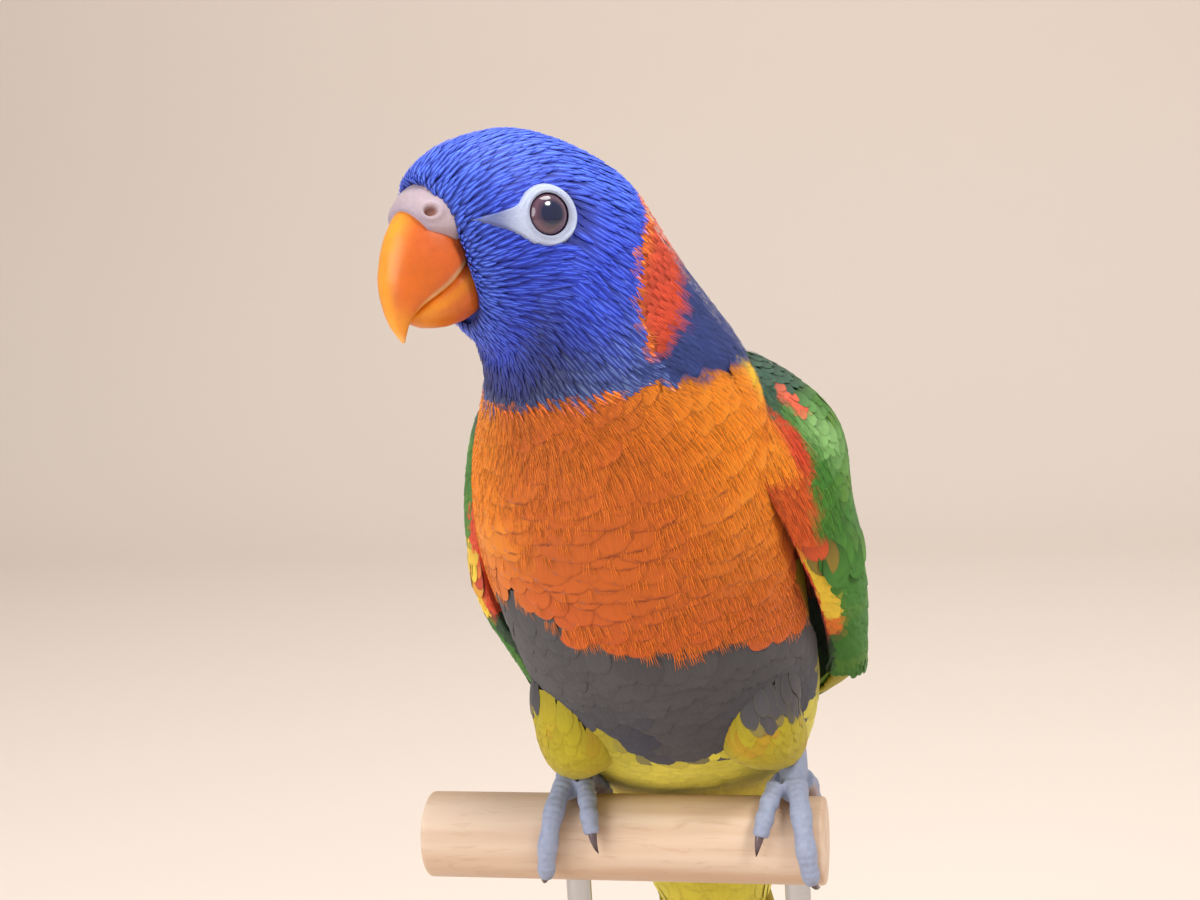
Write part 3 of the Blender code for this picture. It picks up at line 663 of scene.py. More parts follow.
# the tree that lays feathers on a form
def coatTree():
    tree = bpy.data.node_groups.new("layCoat", "GeometryNodeTree")
    inputs = {"Ground": "Geometry", "Form": "Object", "Feather": "Object", "Finish": "Material", "Seed": "Int"}
    inputs |= dict.fromkeys(("Spacing", "Depth", "Sway", "Ruffle", "Patch"), "Float")
    for name, kind in inputs.items():
        tree.interface.new_socket(name, in_out="INPUT", socket_type="NodeSocket" + kind)
    tree.interface.new_socket("Coat", in_out="OUTPUT", socket_type="NodeSocketGeometry")
    board = Board(tree)
    start = tree.nodes.new("NodeGroupInput")
    given = {socket.name: Wire(board, socket) for socket in start.outputs if socket.name}

    def stored(name, kind="FLOAT_VECTOR"):
        return board.add("GeometryNodeInputNamedAttribute", {"data_type": kind}, {"Name": name})

    def anyValue(low, high, shift):
        values = {2: low, 3: high, "Seed": given["Seed"] + shift}
        return board.add("FunctionNodeRandomValue", {"data_type": "FLOAT"}, values, out=1)

    def store(geometry, name, value, kind="FLOAT", domain="POINT"):
        values = {"Geometry": geometry, "Name": name, "Value": value}
        return board.add("GeometryNodeStoreNamedAttribute", {"data_type": kind, "domain": domain}, values)

    def meshOf(name):
        return board.add("GeometryNodeObjectInfo", {}, {"Object": given[name]}, out=4)

    def placed(geometry, place):
        return board.add("GeometryNodeSetPosition", {}, {"Geometry": geometry, "Position": place})

    roots = board.add("GeometryNodeDistributePointsOnFaces", {"distribute_method": "POISSON"}, {
        "Mesh": given["Ground"], "Distance Min": given["Spacing"], "Density Factor": stored("cover", "FLOAT"),
        "Density Max": 5 / (given["Spacing"] * given["Spacing"]), "Seed": given["Seed"]})
    points = store(placed(roots, stored("home")), "chance", anyValue(0.0, 1.0, 1))
    points = store(points, "ruffled", anyValue(-1.0, 1.0, 2))
    outward = board.vector("NORMALIZE", stored("outward"))
    lie = board.add("ShaderNodeVectorRotate", {"rotation_type": "AXIS_ANGLE"}, {
        "Vector": stored("lie"), "Axis": outward, "Angle": anyValue(-1.0, 1.0, 3) * given["Sway"]})
    turn = board.add("FunctionNodeAxesToRotation", {"primary_axis": "Z", "secondary_axis": "Y"}, {
        "Primary Axis": outward, "Secondary Axis": lie})
    laid = board.add("GeometryNodeInstanceOnPoints", {}, {
        "Points": points, "Instance": meshOf("Feather"), "Rotation": turn,
        "Scale": board.scaled(stored("span"), anyValue(0.85, 1.15, 4))})
    solid = board.add("GeometryNodeRealizeInstances", {}, {"Geometry": laid})

    here = board.add("GeometryNodeInputPosition")
    form = meshOf("Form")

    def nearest(value):
        return board.add("GeometryNodeSampleNearestSurface", {"data_type": "FLOAT_VECTOR"}, {
            "Mesh": form, "Value": value, "Sample Position": here})

    up = board.vector("NORMALIZE", nearest(stored("outward")))
    sources = {0: stored("held", "FLOAT"), 4: here, 5: nearest(here)}
    place = board.add("ShaderNodeMix", {"data_type": "VECTOR"}, sources, out=1)
    rise = stored("rise", "FLOAT")
    height = (rise - 1.13) * given["Depth"] + stored("ruffled", "FLOAT") * given["Ruffle"] * rise
    bent = placed(solid, board.vector("ADD", place, board.scaled(up, height)))
    offset = board.vector("MULTIPLY_ADD", stored("vane"), (0.5, 1.0, 0.0), (0.0, -0.5, 0.0))
    patch = board.vector("ADD", stored("unwrap"), board.scaled(offset, given["Patch"]))
    bent = store(bent, "OFBake", patch, "FLOAT2", "CORNER")
    bent = board.add("GeometryNodeSetShadeSmooth", {}, {"Geometry": bent})
    bent = board.add("GeometryNodeSetMaterial", {}, {"Geometry": bent, "Material": given["Finish"]})
    board.join(bent, tree.nodes.new("NodeGroupOutput").inputs[0])
    return tree


layCoat = coatTree()
coatPatch = 0.003  # size of a feather's place on the unwrap
onlyForLaying = ("outward", "lie", "span", "held", "unwrap", "rise", "ruffled", "cover", "home", "id")


def layFeathers(name, ground, form, s):  # ground carries home, cover, lie, outward, span, tint, held and unwrap
    piece = addPiece(name, ground)
    modifier = piece.modifiers.new("coat", "NODES")
    modifier.node_group = layCoat
    values = {"Form": form, "Feather": featherPieces[s["feather"]], "Finish": finishes[s["finish"]],
              "Spacing": s["spacing"] * mm, "Depth": s["depth"] * mm, "Sway": math.radians(s["sway"]),
              "Ruffle": s["ruffle"] * mm, "Patch": coatPatch, "Seed": s["seed"]}
    for item in layCoat.interface.items_tree:
        if item.in_out == "INPUT" and item.name in values:
            modifier[item.identifier] = values[item.name]
    settled(piece)
    for spare in onlyForLaying:
        if spare in piece.data.attributes:
            piece.data.attributes.remove(piece.data.attributes[spare])
    print(name, len(piece.data.polygons), "faces")
    return piece


def standsFor(piece, slot, *replaced):  # the piece's body and the nodes it replaces; slot, its paint, is not used
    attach(piece, "root")
    if replaced:
        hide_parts(*replaced)
    return piece


# feather finishes: the coat's colour with shafts, barbs and shaded roots
def featherFinish(name, s):
    board = Finish(name, {"Roughness": s["roughness"], "Sheen Weight": s["sheen"], "Sheen Roughness": 0.4,
                          "Sheen Tint": (1, 1, 1), "Specular IOR Level": 0.35})
    tint, chance = board.kept("tint"), board.kept("chance", 2)
    parts = board.add("ShaderNodeSeparateXYZ", {}, {0: board.kept("vane", 1)})
    x, y, strand = (board.part(parts, k) for k in range(3))
    side = x.size()
    where = board.joined(x * s["barbs"] + chance * 40, y * s["along"] + side * s["slant"], chance * 17)
    grain = board.noise(where, 1.0, 2.0, 0.6)
    light = s["gain"] + (grain - 0.5) * s["contrast"] + (chance - 0.5) * s["variety"]
    light += (strand - 0.5) * s["strandVariety"]
    shade = y.between(s["rootDark"], 1.0) * (1 - s["rootShade"]) + s["rootShade"]
    coloured = board.scaled(tint, light * shade)
    rim = (side.between(s["edgeStart"] - 0.2, 1.0) * 0.6 + y.between(s["edgeStart"], 1.0)).limited()
    coloured = board.blend(rim * s["edge"] * chance.between(*s["edged"]), coloured, s["edgeTint"])
    shaft = (1 - side.between(s["shaftWidth"] * 0.3, s["shaftWidth"])) * y.between(0.25, 0.6) * s["shaft"]
    streak = (shaft * (grain * 1.6 - 0.1 + (chance - 0.5) * s["shaftVariety"])).limited()
    coloured = board.blend(streak, coloured, board.vector("MULTIPLY_ADD", tint, s["shaftGain"], s["shaftAdd"]))
    board.give({"Base Color": coloured})
    board.bump(0.35, 0.0002, grain)
    return board.material


plainVane = {
    "roughness": 0.62, "sheen": 0.12, "barbs": 5.0, "along": 2.2, "slant": 1.2, "contrast": 0.5, "variety": 0.25,
    "rootDark": 0.1, "rootShade": 0.45, "edge": 0.3, "edgeStart": 0.9, "edgeTint": (0.02, 0.02, 0.02),
    "shaft": 0.0, "shaftWidth": 0.1, "shaftGain": (0.5, 0.5, 0.5), "shaftAdd": (0, 0, 0), "shaftVariety": 0.0,
    "gain": 1.0, "edged": (-1.0, 0.0), "strandVariety": 0.0,
}
vanes = {  # what differs from the plain vane
    "blueFeathers": {"roughness": 0.5, "contrast": 0.4, "edge": 0.35, "edgeTint": paint(26, 34, 112), "shaft": 1.0,
                     "sheen": 0.06, "shaftWidth": 0.36, "shaftGain": (3.4, 3.0, 1.5), "variety": 0.35,
                     "shaftAdd": (0.02, 0.03, 0.05), "shaftVariety": 0.5},
    "hairFeathers": {"contrast": 0.4, "edge": 0.0, "variety": 0.4, "rootShade": 0.8},
    # the breast feathers' dark rims: their own dark edges with painted shade between the feathers
    "breastFeathers": {"barbs": 20.0, "slant": 0.8, "edge": 0.75, "edgeTint": paint(104, 38, 14), "edgeStart": 0.95,
                       "edged": (0.2, 0.9), "variety": 0.1, "rootShade": 0.85},
    # the loose barbs are lighter than the breast: their own paler colour with a painted golden sheen
    "barbFeathers": {"contrast": 0.25, "edge": 0.0, "variety": 0.35, "rootShade": 0.8, "gain": 1.25,
                     "strandVariety": 1.3},
    "bellyFeathers": {"roughness": 0.85, "barbs": 16.0, "contrast": 0.4, "edge": 0.12, "edgeStart": 0.93,
                      "variety": 0.12, "rootShade": 0.85},
    "oliveFeathers": {"roughness": 0.7, "barbs": 14.0, "contrast": 0.4, "edge": 0.2, "edgeTint": paint(120, 110, 16),
                      "rootShade": 0.8, "variety": 0.15},
    "greenFeathers": {"roughness": 0.55, "barbs": 18.0, "contrast": 0.4, "edge": 0.25, "edgeTint": paint(24, 66, 26),
                      "shaft": 0.2, "shaftWidth": 0.08, "sheen": 0.05},
    "flightVanes": {"roughness": 0.42, "barbs": 0.6, "along": 70.0, "slant": -9.0, "contrast": 0.3, "edge": 0.0,
                    "variety": 0.2, "rootDark": 0.0, "rootShade": 0.8, "shaft": 0.6, "shaftWidth": 0.09, "sheen": 0.05},
}
finishes = {name: featherFinish(name, plainVane | changed) for name, changed in vanes.items()}
print("finishes made")


# eyes: where they sit, and the bare skin round them
eyeSettings = {"radius": 5.0, "depth": 9.7, "back": 1.2, "down": 0.8, "forward": 10, "upward": 0.08,
               "opening": 3.55, "ring": 4.5, "point": 13.0, "flare": (5.6, 3.0)}


def eyeAxes(sign):  # the eyeball's centre, its look, the way to the bill and up, in head millimetres
    e = eyeSettings
    a = math.radians(e["forward"])
    centre = np.array([sign * e["depth"], e["back"], -e["down"]])
    look = unit(np.array([sign * math.cos(a), -math.sin(a), e["upward"]]))
    up = unit(np.array([0, 0, 1.0]) - look * look[2])
    ahead = np.cross(up, look) * (1 if np.cross(up, look)[1] < 0 else -1)
    return centre, look, ahead, up


def bareReach(turn):  # how far the bare skin reaches from the eye's centre, by direction; 0 is towards the bill
    e = eyeSettings
    turn = (np.asarray(turn) + math.pi) % (2 * math.pi) - math.pi
    flare = np.where(np.sin(turn) > 0, *e["flare"])  # above and below the line to the bill
    point = e["point"] / (np.cos(turn) + flare * np.abs(np.sin(turn)) + 1e-9)
    point = np.where(np.abs(turn) < math.radians(60), point, 0)
    return (e["ring"] ** 8 + point**8) ** 0.125


def bareShare(places):  # below 1 inside the bare skin of either eye
    local = (places - headPlace) @ headTurned / mm
    share = np.full(len(places), 9.0)
    for sign in (-1, 1):
        centre, look, ahead, up = eyeAxes(sign)
        off = local - centre
        x, y = off @ ahead, off @ up
        near = np.hypot(x, y) / bareReach(np.arctan2(y, x))
        share = np.where((off @ look > 0) & (off @ look < 12), np.minimum(share, near), share)
    return share


# zones of the body coat
def solidTree(*names):
    return treeOf(joinedMesh("solids", [nodes[name].data for name in names]))


muzzleTree = solidTree("bill_upper", "bill_lower", "cere")
wingTree = solidTree("wing_left", "wing_right")


def covered(tree, places, outward, lie, reach):  # true where the solid hides a place from every side
    across = np.cross(outward, lie)
    hidden = np.ones(len(places), bool)
    for tilt, turned in ((0, lie), (0.9, lie), (-0.9, lie), (0.9, across), (-0.9, across)):
        rays = unit(outward + turned * tilt)
        for i in np.flatnonzero(hidden):
            hit = tree.ray_cast(Vector(places[i]), Vector(rays[i]), reach)
            hidden[i] = hit[0] is not None
    return hidden


headSize = {"face": (0.9, 3.0), "crown": (1.25, 6.4), "cheek": (1.35, 7.4), "throat": (1.35, 6.0), "nape": (1.5, 7.0)}
headSize = {name: np.array(size) for name, size in headSize.items()}


def headSpan(along, around):  # width and length of the head's feathers
    away = np.abs(around)
    return layered(
        headSize, "cheek",
        "crown", ease(85, 50, away),
        "throat", ease(115, 145, away),
        "nape", ease(5.2, 7, along),
        "face", ease(3.0, 1.0, along),
    )


def steadySpan(width, length):
    return lambda along, around: np.tile((width, length), (len(along), 1)).astype(float)


def breastSpan(along, around):  # broad in the middle, small where the breast meets the throat and the belly
    rim = np.minimum(border("breastEnd", around) - along, along - border("breastTop", around) + 0.3)
    return mixed(np.array((6.5, 7.5)), np.array((12.5, 12.0)), ease(0.5, 1.9, rim))


allRound = (-180, 180)
coatZones = {
    "coatHead": {"along": (0.35, 8.9), "around": allRound, "feather": "streak", "finish": "blueFeathers",
                 "span": headSpan, "spacing": 0.6, "stretch": 4.0, "depth": 1.0, "sway": 5, "ruffle": 0.06,
                 "seed": 3, "form": "head"},
    "coatNape": {"along": (5.4, 9.6), "around": (-125, 125), "feather": "barbs", "finish": "hairFeathers",
                 "span": steadySpan(2.0, 5.5), "spacing": 0.9, "stretch": 2.2, "depth": 1.0, "sway": 7, "ruffle": 0.08,
                 "seed": 5, "form": "nape"},
    "coatBreast": {"along": (6.6, 12.6), "around": allRound, "feather": "scale", "finish": "breastFeathers",
                   "span": breastSpan, "spacing": 3.3, "stretch": 0.95, "depth": 1.5, "sway": 6, "ruffle": 0.08,
                   "seed": 8, "form": "breast"},
    "coatBreastBarbs": {"along": (6.7, 12.5), "around": allRound, "feather": "barbs", "finish": "barbFeathers",
                        "span": steadySpan(2.0, 4.2), "spacing": 0.78, "stretch": 2.2, "depth": 1.5, "sway": 8,
                        "ruffle": 0.08, "seed": 11, "form": "breast"},
    "coatBelly": {"along": (11.0, 14.8), "around": allRound, "feather": "down", "finish": "bellyFeathers",
                  "span": steadySpan(7.0, 9.5), "spacing": 2.3, "stretch": 1.3, "depth": 1.6, "sway": 8,
                  "ruffle": 0.06, "seed": 13, "form": "belly"},
    "coatVent": {"along": (12.8, 18.8), "around": allRound, "feather": "down", "finish": "oliveFeathers",
                 "span": steadySpan(6.5, 10.5), "spacing": 2.4, "stretch": 1.4, "depth": 1.6, "sway": 7,
                 "ruffle": 0.08, "seed": 17, "form": "vent"},
    "coatBack": {"along": (8.8, 18.6), "around": (-82, 82), "feather": "covert", "finish": "greenFeathers",
                 "span": steadySpan(6.5, 8.5), "spacing": 2.8, "stretch": 1.0, "depth": 1.6, "sway": 6, "ruffle": 0.1,
                 "seed": 19, "form": "back"},
}


def zoneShare(form, along, around, places, past):  # where a zone's feathers grow, and how far past the breast's end
    u = along + ripple(places, 4 * mm, 6) * 0.12
    away = np.abs(around)
    blue = (u < border("breastTop", around)) | (away < 60)
    onBack = (away < 68) & (u > 8.9)
    inBand = (u > border("collarTop", around) + 0.15) & (away < 112)
    return {
        "head": blue & ~inBand & (u < 8.8),
        "nape": blue & (u > border("collarTop", around) - 0.12) & (away < 122),
        "breast": ~blue & ~onBack & (u < border("breastEnd", around) + past),
        "belly": ~onBack & (u > border("breastEnd", around) + 0.2) & (u < border("bellyEnd", around)),
        "vent": ~onBack & (u > border("bellyEnd", around) - 0.15),
        "back": onBack,
    }[form]


def squeezed(shape, around, stretch):  # a round stand-in, shorter by the stretch, for the roots to scatter on
    radius = np.linalg.norm(shape - shape.mean(1, keepdims=True), axis=2).mean(1).repeat(shape.shape[1])
    a = np.radians(around)
    return np.stack([radius * np.cos(a), radius * np.sin(a), lengthAlong(shape).ravel() / stretch], -1)


groundSettings = {
    "steps": 22, "turn": 2.0,  # steps a station along, degrees a step around
    "face": 3, "longest": 8.0, "step": 0.4,  # where the bare skin is near, and how far ahead it is looked for
    "wingFrom": 8.5, "wingTo": 18, "wingReach": 22 * mm, "billGap": 0.25 * mm,
    "tip": 0.6, "tall": 3.0, "heldTo": (18.4, 16.8),
}
# a patch where the loose barbs are thinned, so the breast feathers' dark rims, with painted shade between the feathers,
# show there
sparseBarbs = {"around": -168, "wide": (50, 25), "start": (9.7, 10.5), "end": (11.75, 11.4), "share": 0.92}


def bodySpan(s, u, a, places, lie):  # width and length, shorter before the bare skin and at the borders
    g, span = groundSettings, s["span"](u, a)
    if s["along"][0] < g["face"]:
        room = np.full(len(u), 99.0)
        for ahead in np.arange(g["longest"], g["step"] / 2, -g["step"]):
            room = np.where(bareShare(places + lie * ahead * mm) < 1.02, ahead, room)
        span[:, 1] = np.minimum(span[:, 1], np.maximum(room * 1.6 + 0.4, 1.0))
    if s["form"] in ("head", "nape") or s["feather"] == "barbs":
        short = np.abs(u - border("breastTop", a)) * (np.abs(a) > 60) + 9.0 * (np.abs(a) <= 60)
        short = np.minimum(short, np.abs(u - border("collarTop", a)) + 9.0 * (np.abs(a) > 115))
        span[:, 1] *= 0.42 + 0.58 * ease(0.1, 0.9, short)
    return span


def bodyGround(name, s):
    g, sparse = groundSettings, sparseBarbs
    alongs = np.linspace(*s["along"], int((s["along"][1] - s["along"][0]) * g["steps"]) + 1)
    wrap = s["around"] == allRound
    arounds = np.arange(s["around"][0], s["around"][1] + (-1 if wrap else 0.1), g["turn"])
    u, a, places, lie, outward = surfaceGrid(bodyPoint, bodyMiddle, alongs, arounds)
    shape = places.reshape(len(alongs), len(arounds), 3)
    faces = gridFaces(len(alongs), len(arounds), wrap)
    mesh = plainMesh(name, squeezed(shape, a, s["stretch"]), faces)
    span = bodySpan(s, u, a, places, lie)
    station = np.linalg.norm(bodyPoint(u + 0.5, a) - bodyPoint(u - 0.5, a), axis=1)
    tipShift = span[:, 1] * g["tip"] * mm / np.maximum(station, 4 * mm)  # stations from root to where it shows
    coloured = u + tipShift
    if s["form"] == "breast":
        coloured = np.clip(coloured, border("breastTop", a) + 0.05, border("breastEnd", a) - 0.2)
    for form, start in (("belly", "breastEnd"), ("vent", "bellyEnd")):
        if s["form"] == form:
            coloured = np.maximum(coloured, border(start, a) + 0.2)
    tint = bodyTint(coloured, a, places, 0.01)
    barbs = s["finish"] == "barbFeathers"
    grows = zoneShare(s["form"], u + tipShift * 0.8, a, places, 0.22 if s["feather"] == "barbs" else 0.0)
    grows &= bareShare(places) > 1.0
    for i in np.flatnonzero(grows & (u < g["face"])):
        spot, normal, _, distance = muzzleTree.find_nearest(Vector(places[i]))
        grows[i] = (Vector(places[i]) - spot).dot(normal) > 0 and distance > g["billGap"]
    picked = np.flatnonzero(grows & (u > g["wingFrom"]) & (u < g["wingTo"]))
    above = places[picked] + outward[picked] * 0.2 * mm
    grows[picked] = ~covered(wingTree, above, outward[picked], lie[picked], g["wingReach"])
    cover = grows.astype(float)
    if barbs:  # the loose barbs are thinned in one patch, so the breast feathers' dark rims show there: their own dark edges with painted shade between the feathers
        # the loose barbs mixed towards golden: their own paler colour with a painted golden sheen
        tint = mixed(tint, coatPaint["breastSide"], 0.3)
        aside = np.abs((a - sparse["around"] + 180) % 360 - 180)
        cover *= 1 - sparse["share"] * ease(*sparse["wide"], aside) * ease(*sparse["start"], u) * ease(*sparse["end"], u)
    keep(mesh, home=places, outward=outward, lie=lie, tint=tint, cover=cover, held=ease(*g["heldTo"], u),
         span=np.concatenate([span, np.full((len(u), 1), g["tall"])], 1) * mm,
         unwrap=np.stack([(a + 180) / 360, u / 20, 0 * u], -1))
    return mesh


thighZone = {"feather": "down", "finish": "oliveFeathers", "spacing": 1.4, "depth": 1.1, "sway": 8, "ruffle": 0.08}
thighSpan = (3.4, 7.0, 2.0)


def makeThighCoat(sign, side):
    def point(along, around):
        return thighPoint(sign, along, around)

    def middle(along, around):
        return thighPoint(sign, along, around, -6.0)

    alongs, arounds = np.linspace(0.35, 3.95, 60), np.arange(-180, 180, 5.0)
    u, a, places, lie, outward = surfaceGrid(point, middle, alongs, arounds)
    mesh = plainMesh("coatThigh_" + side, places, gridFaces(len(alongs), len(arounds)))
    start = 1.0 if sign < 0 else 1.45
    low = layered(coatPaint, "olive", "amber", ease(0.1, 0.7, ripple(places, 6 * mm, 21)) * 0.5)
    dark = coatPaint["belly"] * (1 + 0.1 * ripple(places, 8 * mm, 23)[:, None])
    tint = mixed(dark, low, ease(start - 0.03, start + 0.03, u + ripple(places, 5 * mm, 22) * 0.2))
    proud = np.ones(len(u))
    for i, place in enumerate(places):
        spot, _, _, distance = bodyTree.find_nearest(Vector(place))
        inside = (Vector(place) - spot).dot(Vector(outwardOfBody(spot))) < 0
        proud[i] = not (inside and distance > 0.8 * mm)
    keep(mesh, home=places, outward=outward, lie=lie, tint=tint, cover=proud, held=ease(3.9, 3.3, u),
         span=np.tile(thighSpan, (len(u), 1)) * mm * ease(5.2, 2.6, u)[:, None],
         unwrap=np.stack([(a + 180) / 360, u / 4, 0 * u], -1))
    form = formPiece("thighForm", point, middle, np.linspace(0, 4, 60), np.arange(-180, 180, 6.0), True)
    piece = layFeathers("coatThigh_" + side, mesh, form, thighZone | {"seed": 41 + sign})
    bpy.data.objects.remove(form)
    return piece


bodyCoat = {name: layFeathers(name, bodyGround(name, s), bodyForm, s) for name, s in coatZones.items()}
sides = ((1, "left"), (-1, "right"))
for sign, side in sides:
    bodyCoat["coatThigh_" + side] = makeThighCoat(sign, side)


# the skin: one closed surface under the coat
skinSettings = {"voxel": 0.8 * mm, "smoothing": 6, "headDepth": 0.9, "trunkDepth": 1.7}


def makeSkin():
    s = skinSettings
    alongs, arounds = np.linspace(0.02, 18.9, 150), np.arange(0, 360, 5.0)
    u, a, places, _, outward = surfaceGrid(bodyPoint, bodyMiddle, alongs, arounds)
    depth = (s["headDepth"] + (s["trunkDepth"] - s["headDepth"]) * ease(6, 10, u) + ease(2.6, 1.2, u) * 0.9) * mm
    core = places - outward * depth[:, None]
    meshes = [tubeMesh("bodyCore", core.reshape(len(alongs), len(arounds), 3))]
    across, thighArounds = np.linspace(0.04, 0.96, 14), np.arange(0, 360, 15.0)
    for sign in (-1, 1):
        thigh = [thighPoint(sign, np.full(24, along), thighArounds, -1.2) for along in np.linspace(0, 3.9, 24)]
        rings = []
        for along in np.linspace(0.0, 6.6, 40):
            outer = wingPoint(sign, np.full(14, along), across, np.full(14, 0.55))
            inner = wingPoint(sign, np.full(14, along), across[::-1], np.full(14, -0.55 - 1.6 * ease(3.0, 1.0, along)))
            rings.append(np.concatenate([outer, inner]))
        meshes += [tubeMesh("thighCore", np.array(thigh)), tubeMesh("wingCore", np.array(rings))]
    skin = remeshed("skin", meshes, s["voxel"], s["smoothing"])
    nearest = nearestOf(places)
    found = [nearest(place) for place in onVertices(skin.data)]
    # the skin takes the coat's colour darkened to 0.55: painted shade for the gaps between the feathers
    keep(skin.data, tint=bodyTint(u, (a + 180) % 360 - 180, places)[found] * 0.55)
    return skin


skin = makeSkin()
print("skin", len(skin.data.polygons), "faces")


def skinFinish():
    board = Finish("birdSkin", {"Roughness": 0.75})
    grain = board.noise(board.place(), 900.0, 3.0)
    board.give({"Base Color": board.scaled(board.kept("tint"), grain * 0.8 + 0.6)})
    board.bump(0.4, 0.0003, grain)
    return board.material


skin.data.materials.clear()
skin.data.materials.append(skinFinish())
standsFor(skin, "orange_plumage", "head", "neck", "trunk", "thigh_left", "thigh_right")
coatSlots = {"coatHead": "blue", "coatVent": "olive", "coatBack": "green", "coatThigh_left": "olive",
             "coatThigh_right": "olive"}
for name, piece in bodyCoat.items():
    standsFor(piece, coatSlots.get(name, "orange") + "_plumage")


# wings: small feathers over the arm, then the closed vanes of the flight feathers
flightSets = {  # along and across of the first and last feather's root and tip, then widths and heights in mm
    "primaries": {"count": 10, "root": ((3.4, 0.1), (4.6, 0.62)), "tip": ((7.5, 0.1), (10.0, 0.5)),
                  "width": (7.5, 9.0), "height": (-2.0, -1.3), "blunt": 0.8},
    "secondaries": {"count": 11, "root": ((2.0, 0.14), (2.6, 0.88)), "tip": ((5.5, 0.14), (7.4, 0.86)),
                    "width": (8.0, 11.0), "height": (-1.3, -0.4), "blunt": 0.85},
    "greaterCoverts": {"count": 13, "root": ((1.2, 0.16), (1.7, 0.94)), "tip": ((3.7, 0.15), (4.7, 0.9)),
                       "width": (6.0, 8.0), "height": (-0.8, -0.3), "blunt": 0.9},
}
vaneShape = {"rows": 14, "columns": 6, "thickness": 0.16, "shingle": 0.3, "camber": 0.25}
wingPaint = {
    # bend is a painted highlight: a paler green where the light catches the wing's bend
    "green": paint(60, 120, 38), "bend": paint(140, 186, 112), "web": paint(40, 88, 48), "edge": paint(130, 160, 58),
    "flight": paint(98, 146, 58), "under": paint(206, 70, 36), "strip": paint(236, 200, 60), "quill": paint(52, 56, 50),
    # mantle is the shoulder's own greyer green, also laid on the wing's top by the back as a painted sheen
    "bar": paint(236, 176, 50), "mantle": paint(52, 86, 66), "tip": paint(36, 62, 40), "amber": paint(226, 120, 36),
    "salmon": paint(222, 96, 66),
}
wingSides = {  # where the outer green ends, as along and over; the bright strip's alongs, then overs; alongs of colours
    1: {"edge": [(0, 0.06), (0.6, 0.08), (1.0, 0.12), (1.3, 0.15), (1.8, 0.15), (2.2, 0.11), (2.6, 0.08), (3.1, 0.05),
                 (5, 0.02)],
        "strip": (3.05, 4.45, 0.0, 0.05), "amber": 4.1, "tip": 4.5, "orange": 0.085, "red": 0.9},
    -1: {"edge": [(0, 0.02), (1.8, 0.02), (2.2, 0.05), (5, 0.05)],
         "strip": (2.5, 3.9, 0.045, 0.12), "amber": 3.8, "tip": 3.8, "orange": -2, "red": 1.8},
}


def wingPlace(sign, along, over):  # over runs from the inner face's trailing edge -1, round the leading edge 0, to 1
    return wingPoint(sign, along, np.abs(over), np.sin(np.clip(over / 0.08, -1, 1) * math.pi / 2))


def wingFacing(sign, along, across, height):  # places above the outer face, height in millimetres
    step = 0.02
    place = wingPoint(sign, along, across)
    ahead = wingPoint(sign, along + step, across) - wingPoint(sign, along - step, across)
    aside = wingPoint(sign, along, across + step) - wingPoint(sign, along, across - step)
    return place + unit(np.cross(ahead, aside)) * sign * np.asarray(height)[:, None] * mm


def wingChord(along):
    row = alongRows(wingLine, along)
    return np.linalg.norm(row[:, 0:3] - row[:, 3:6], axis=1) + np.linalg.norm(row[:, 3:6] - row[:, 6:9], axis=1)


def vaneGrid():  # across and along a vane, and the faces of its top, its underside and its rim
    s = vaneShape
    x, r = np.meshgrid(np.linspace(-1, 1, s["columns"] + 1), np.linspace(0, 1, s["rows"] + 1))
    top, count = gridFaces(*x.shape, False), x.size
    grid = np.arange(count).reshape(x.shape)
    rim = np.concatenate([grid[0], grid[1:, -1], grid[-1, -2::-1], grid[-2:0:-1, 0]]).tolist()
    faces = top + [tuple(count + i for i in reversed(face)) for face in top]
    faces += [(i, j, count + j, count + i) for i, j in zip(rim, rim[1:] + rim[:1])]
    return x.ravel(), r.ravel(), faces


def vanePiece(name, feathers):  # each feather gives the places, then the colours of its top and of its underside
    x, r, faces = vaneGrid()
    count, many = 2 * len(x), len(feathers)
    places = np.concatenate([half for f in feathers for half in f[:2]])
    mesh = plainMesh(name, places, [tuple(i + k * count for i in face) for k in range(many) for face in faces])
    outwards(mesh)
    keep(mesh, vane=np.tile(np.stack([x, r, 0 * r], -1), (2 * many, 1)),
         chance=np.repeat(np.random.default_rng(31).random(many), count),
         tint=np.concatenate([half for f in feathers for half in f[2:]]))
    side, spots = math.ceil(math.sqrt(many)), []
    for k in range(many):
        for lower in (0, 1):
            column = (k % side + (x + 1) / 2 * 0.42 + 0.04 + lower * 0.48) / side
            spots.append(np.stack([column, (k // side + r * 0.9 + 0.05) / side], -1))
    corners = np.empty(len(mesh.loops), int)
    mesh.loops.foreach_get("vertex_index", corners)
    mesh.uv_layers.new(name="OFBake").data.foreach_set("uv", np.concatenate(spots)[corners].ravel())
    mesh.shade_smooth()
    mesh.materials.append(finishes["flightVanes"])
    print(name, len(mesh.polygons), "faces")
    return addPiece(name, mesh)


def vaneWidth(r, blunt):  # share of the full width from root to tip
    start = 0.3 + 0.7 * ease(0.0, 0.25, r)
    turn = 0.45 + 0.4 * blunt
    return start * np.maximum(1 - np.clip((r - turn) / (1 - turn), 0, 1) ** (1.4 + 1.2 * blunt), 0.05)


def wingEdge(sign, along):  # over, where the outer green gives way to the colours of the breast and the lining
    return np.interp(along, *np.array(wingSides[sign]["edge"]).T)


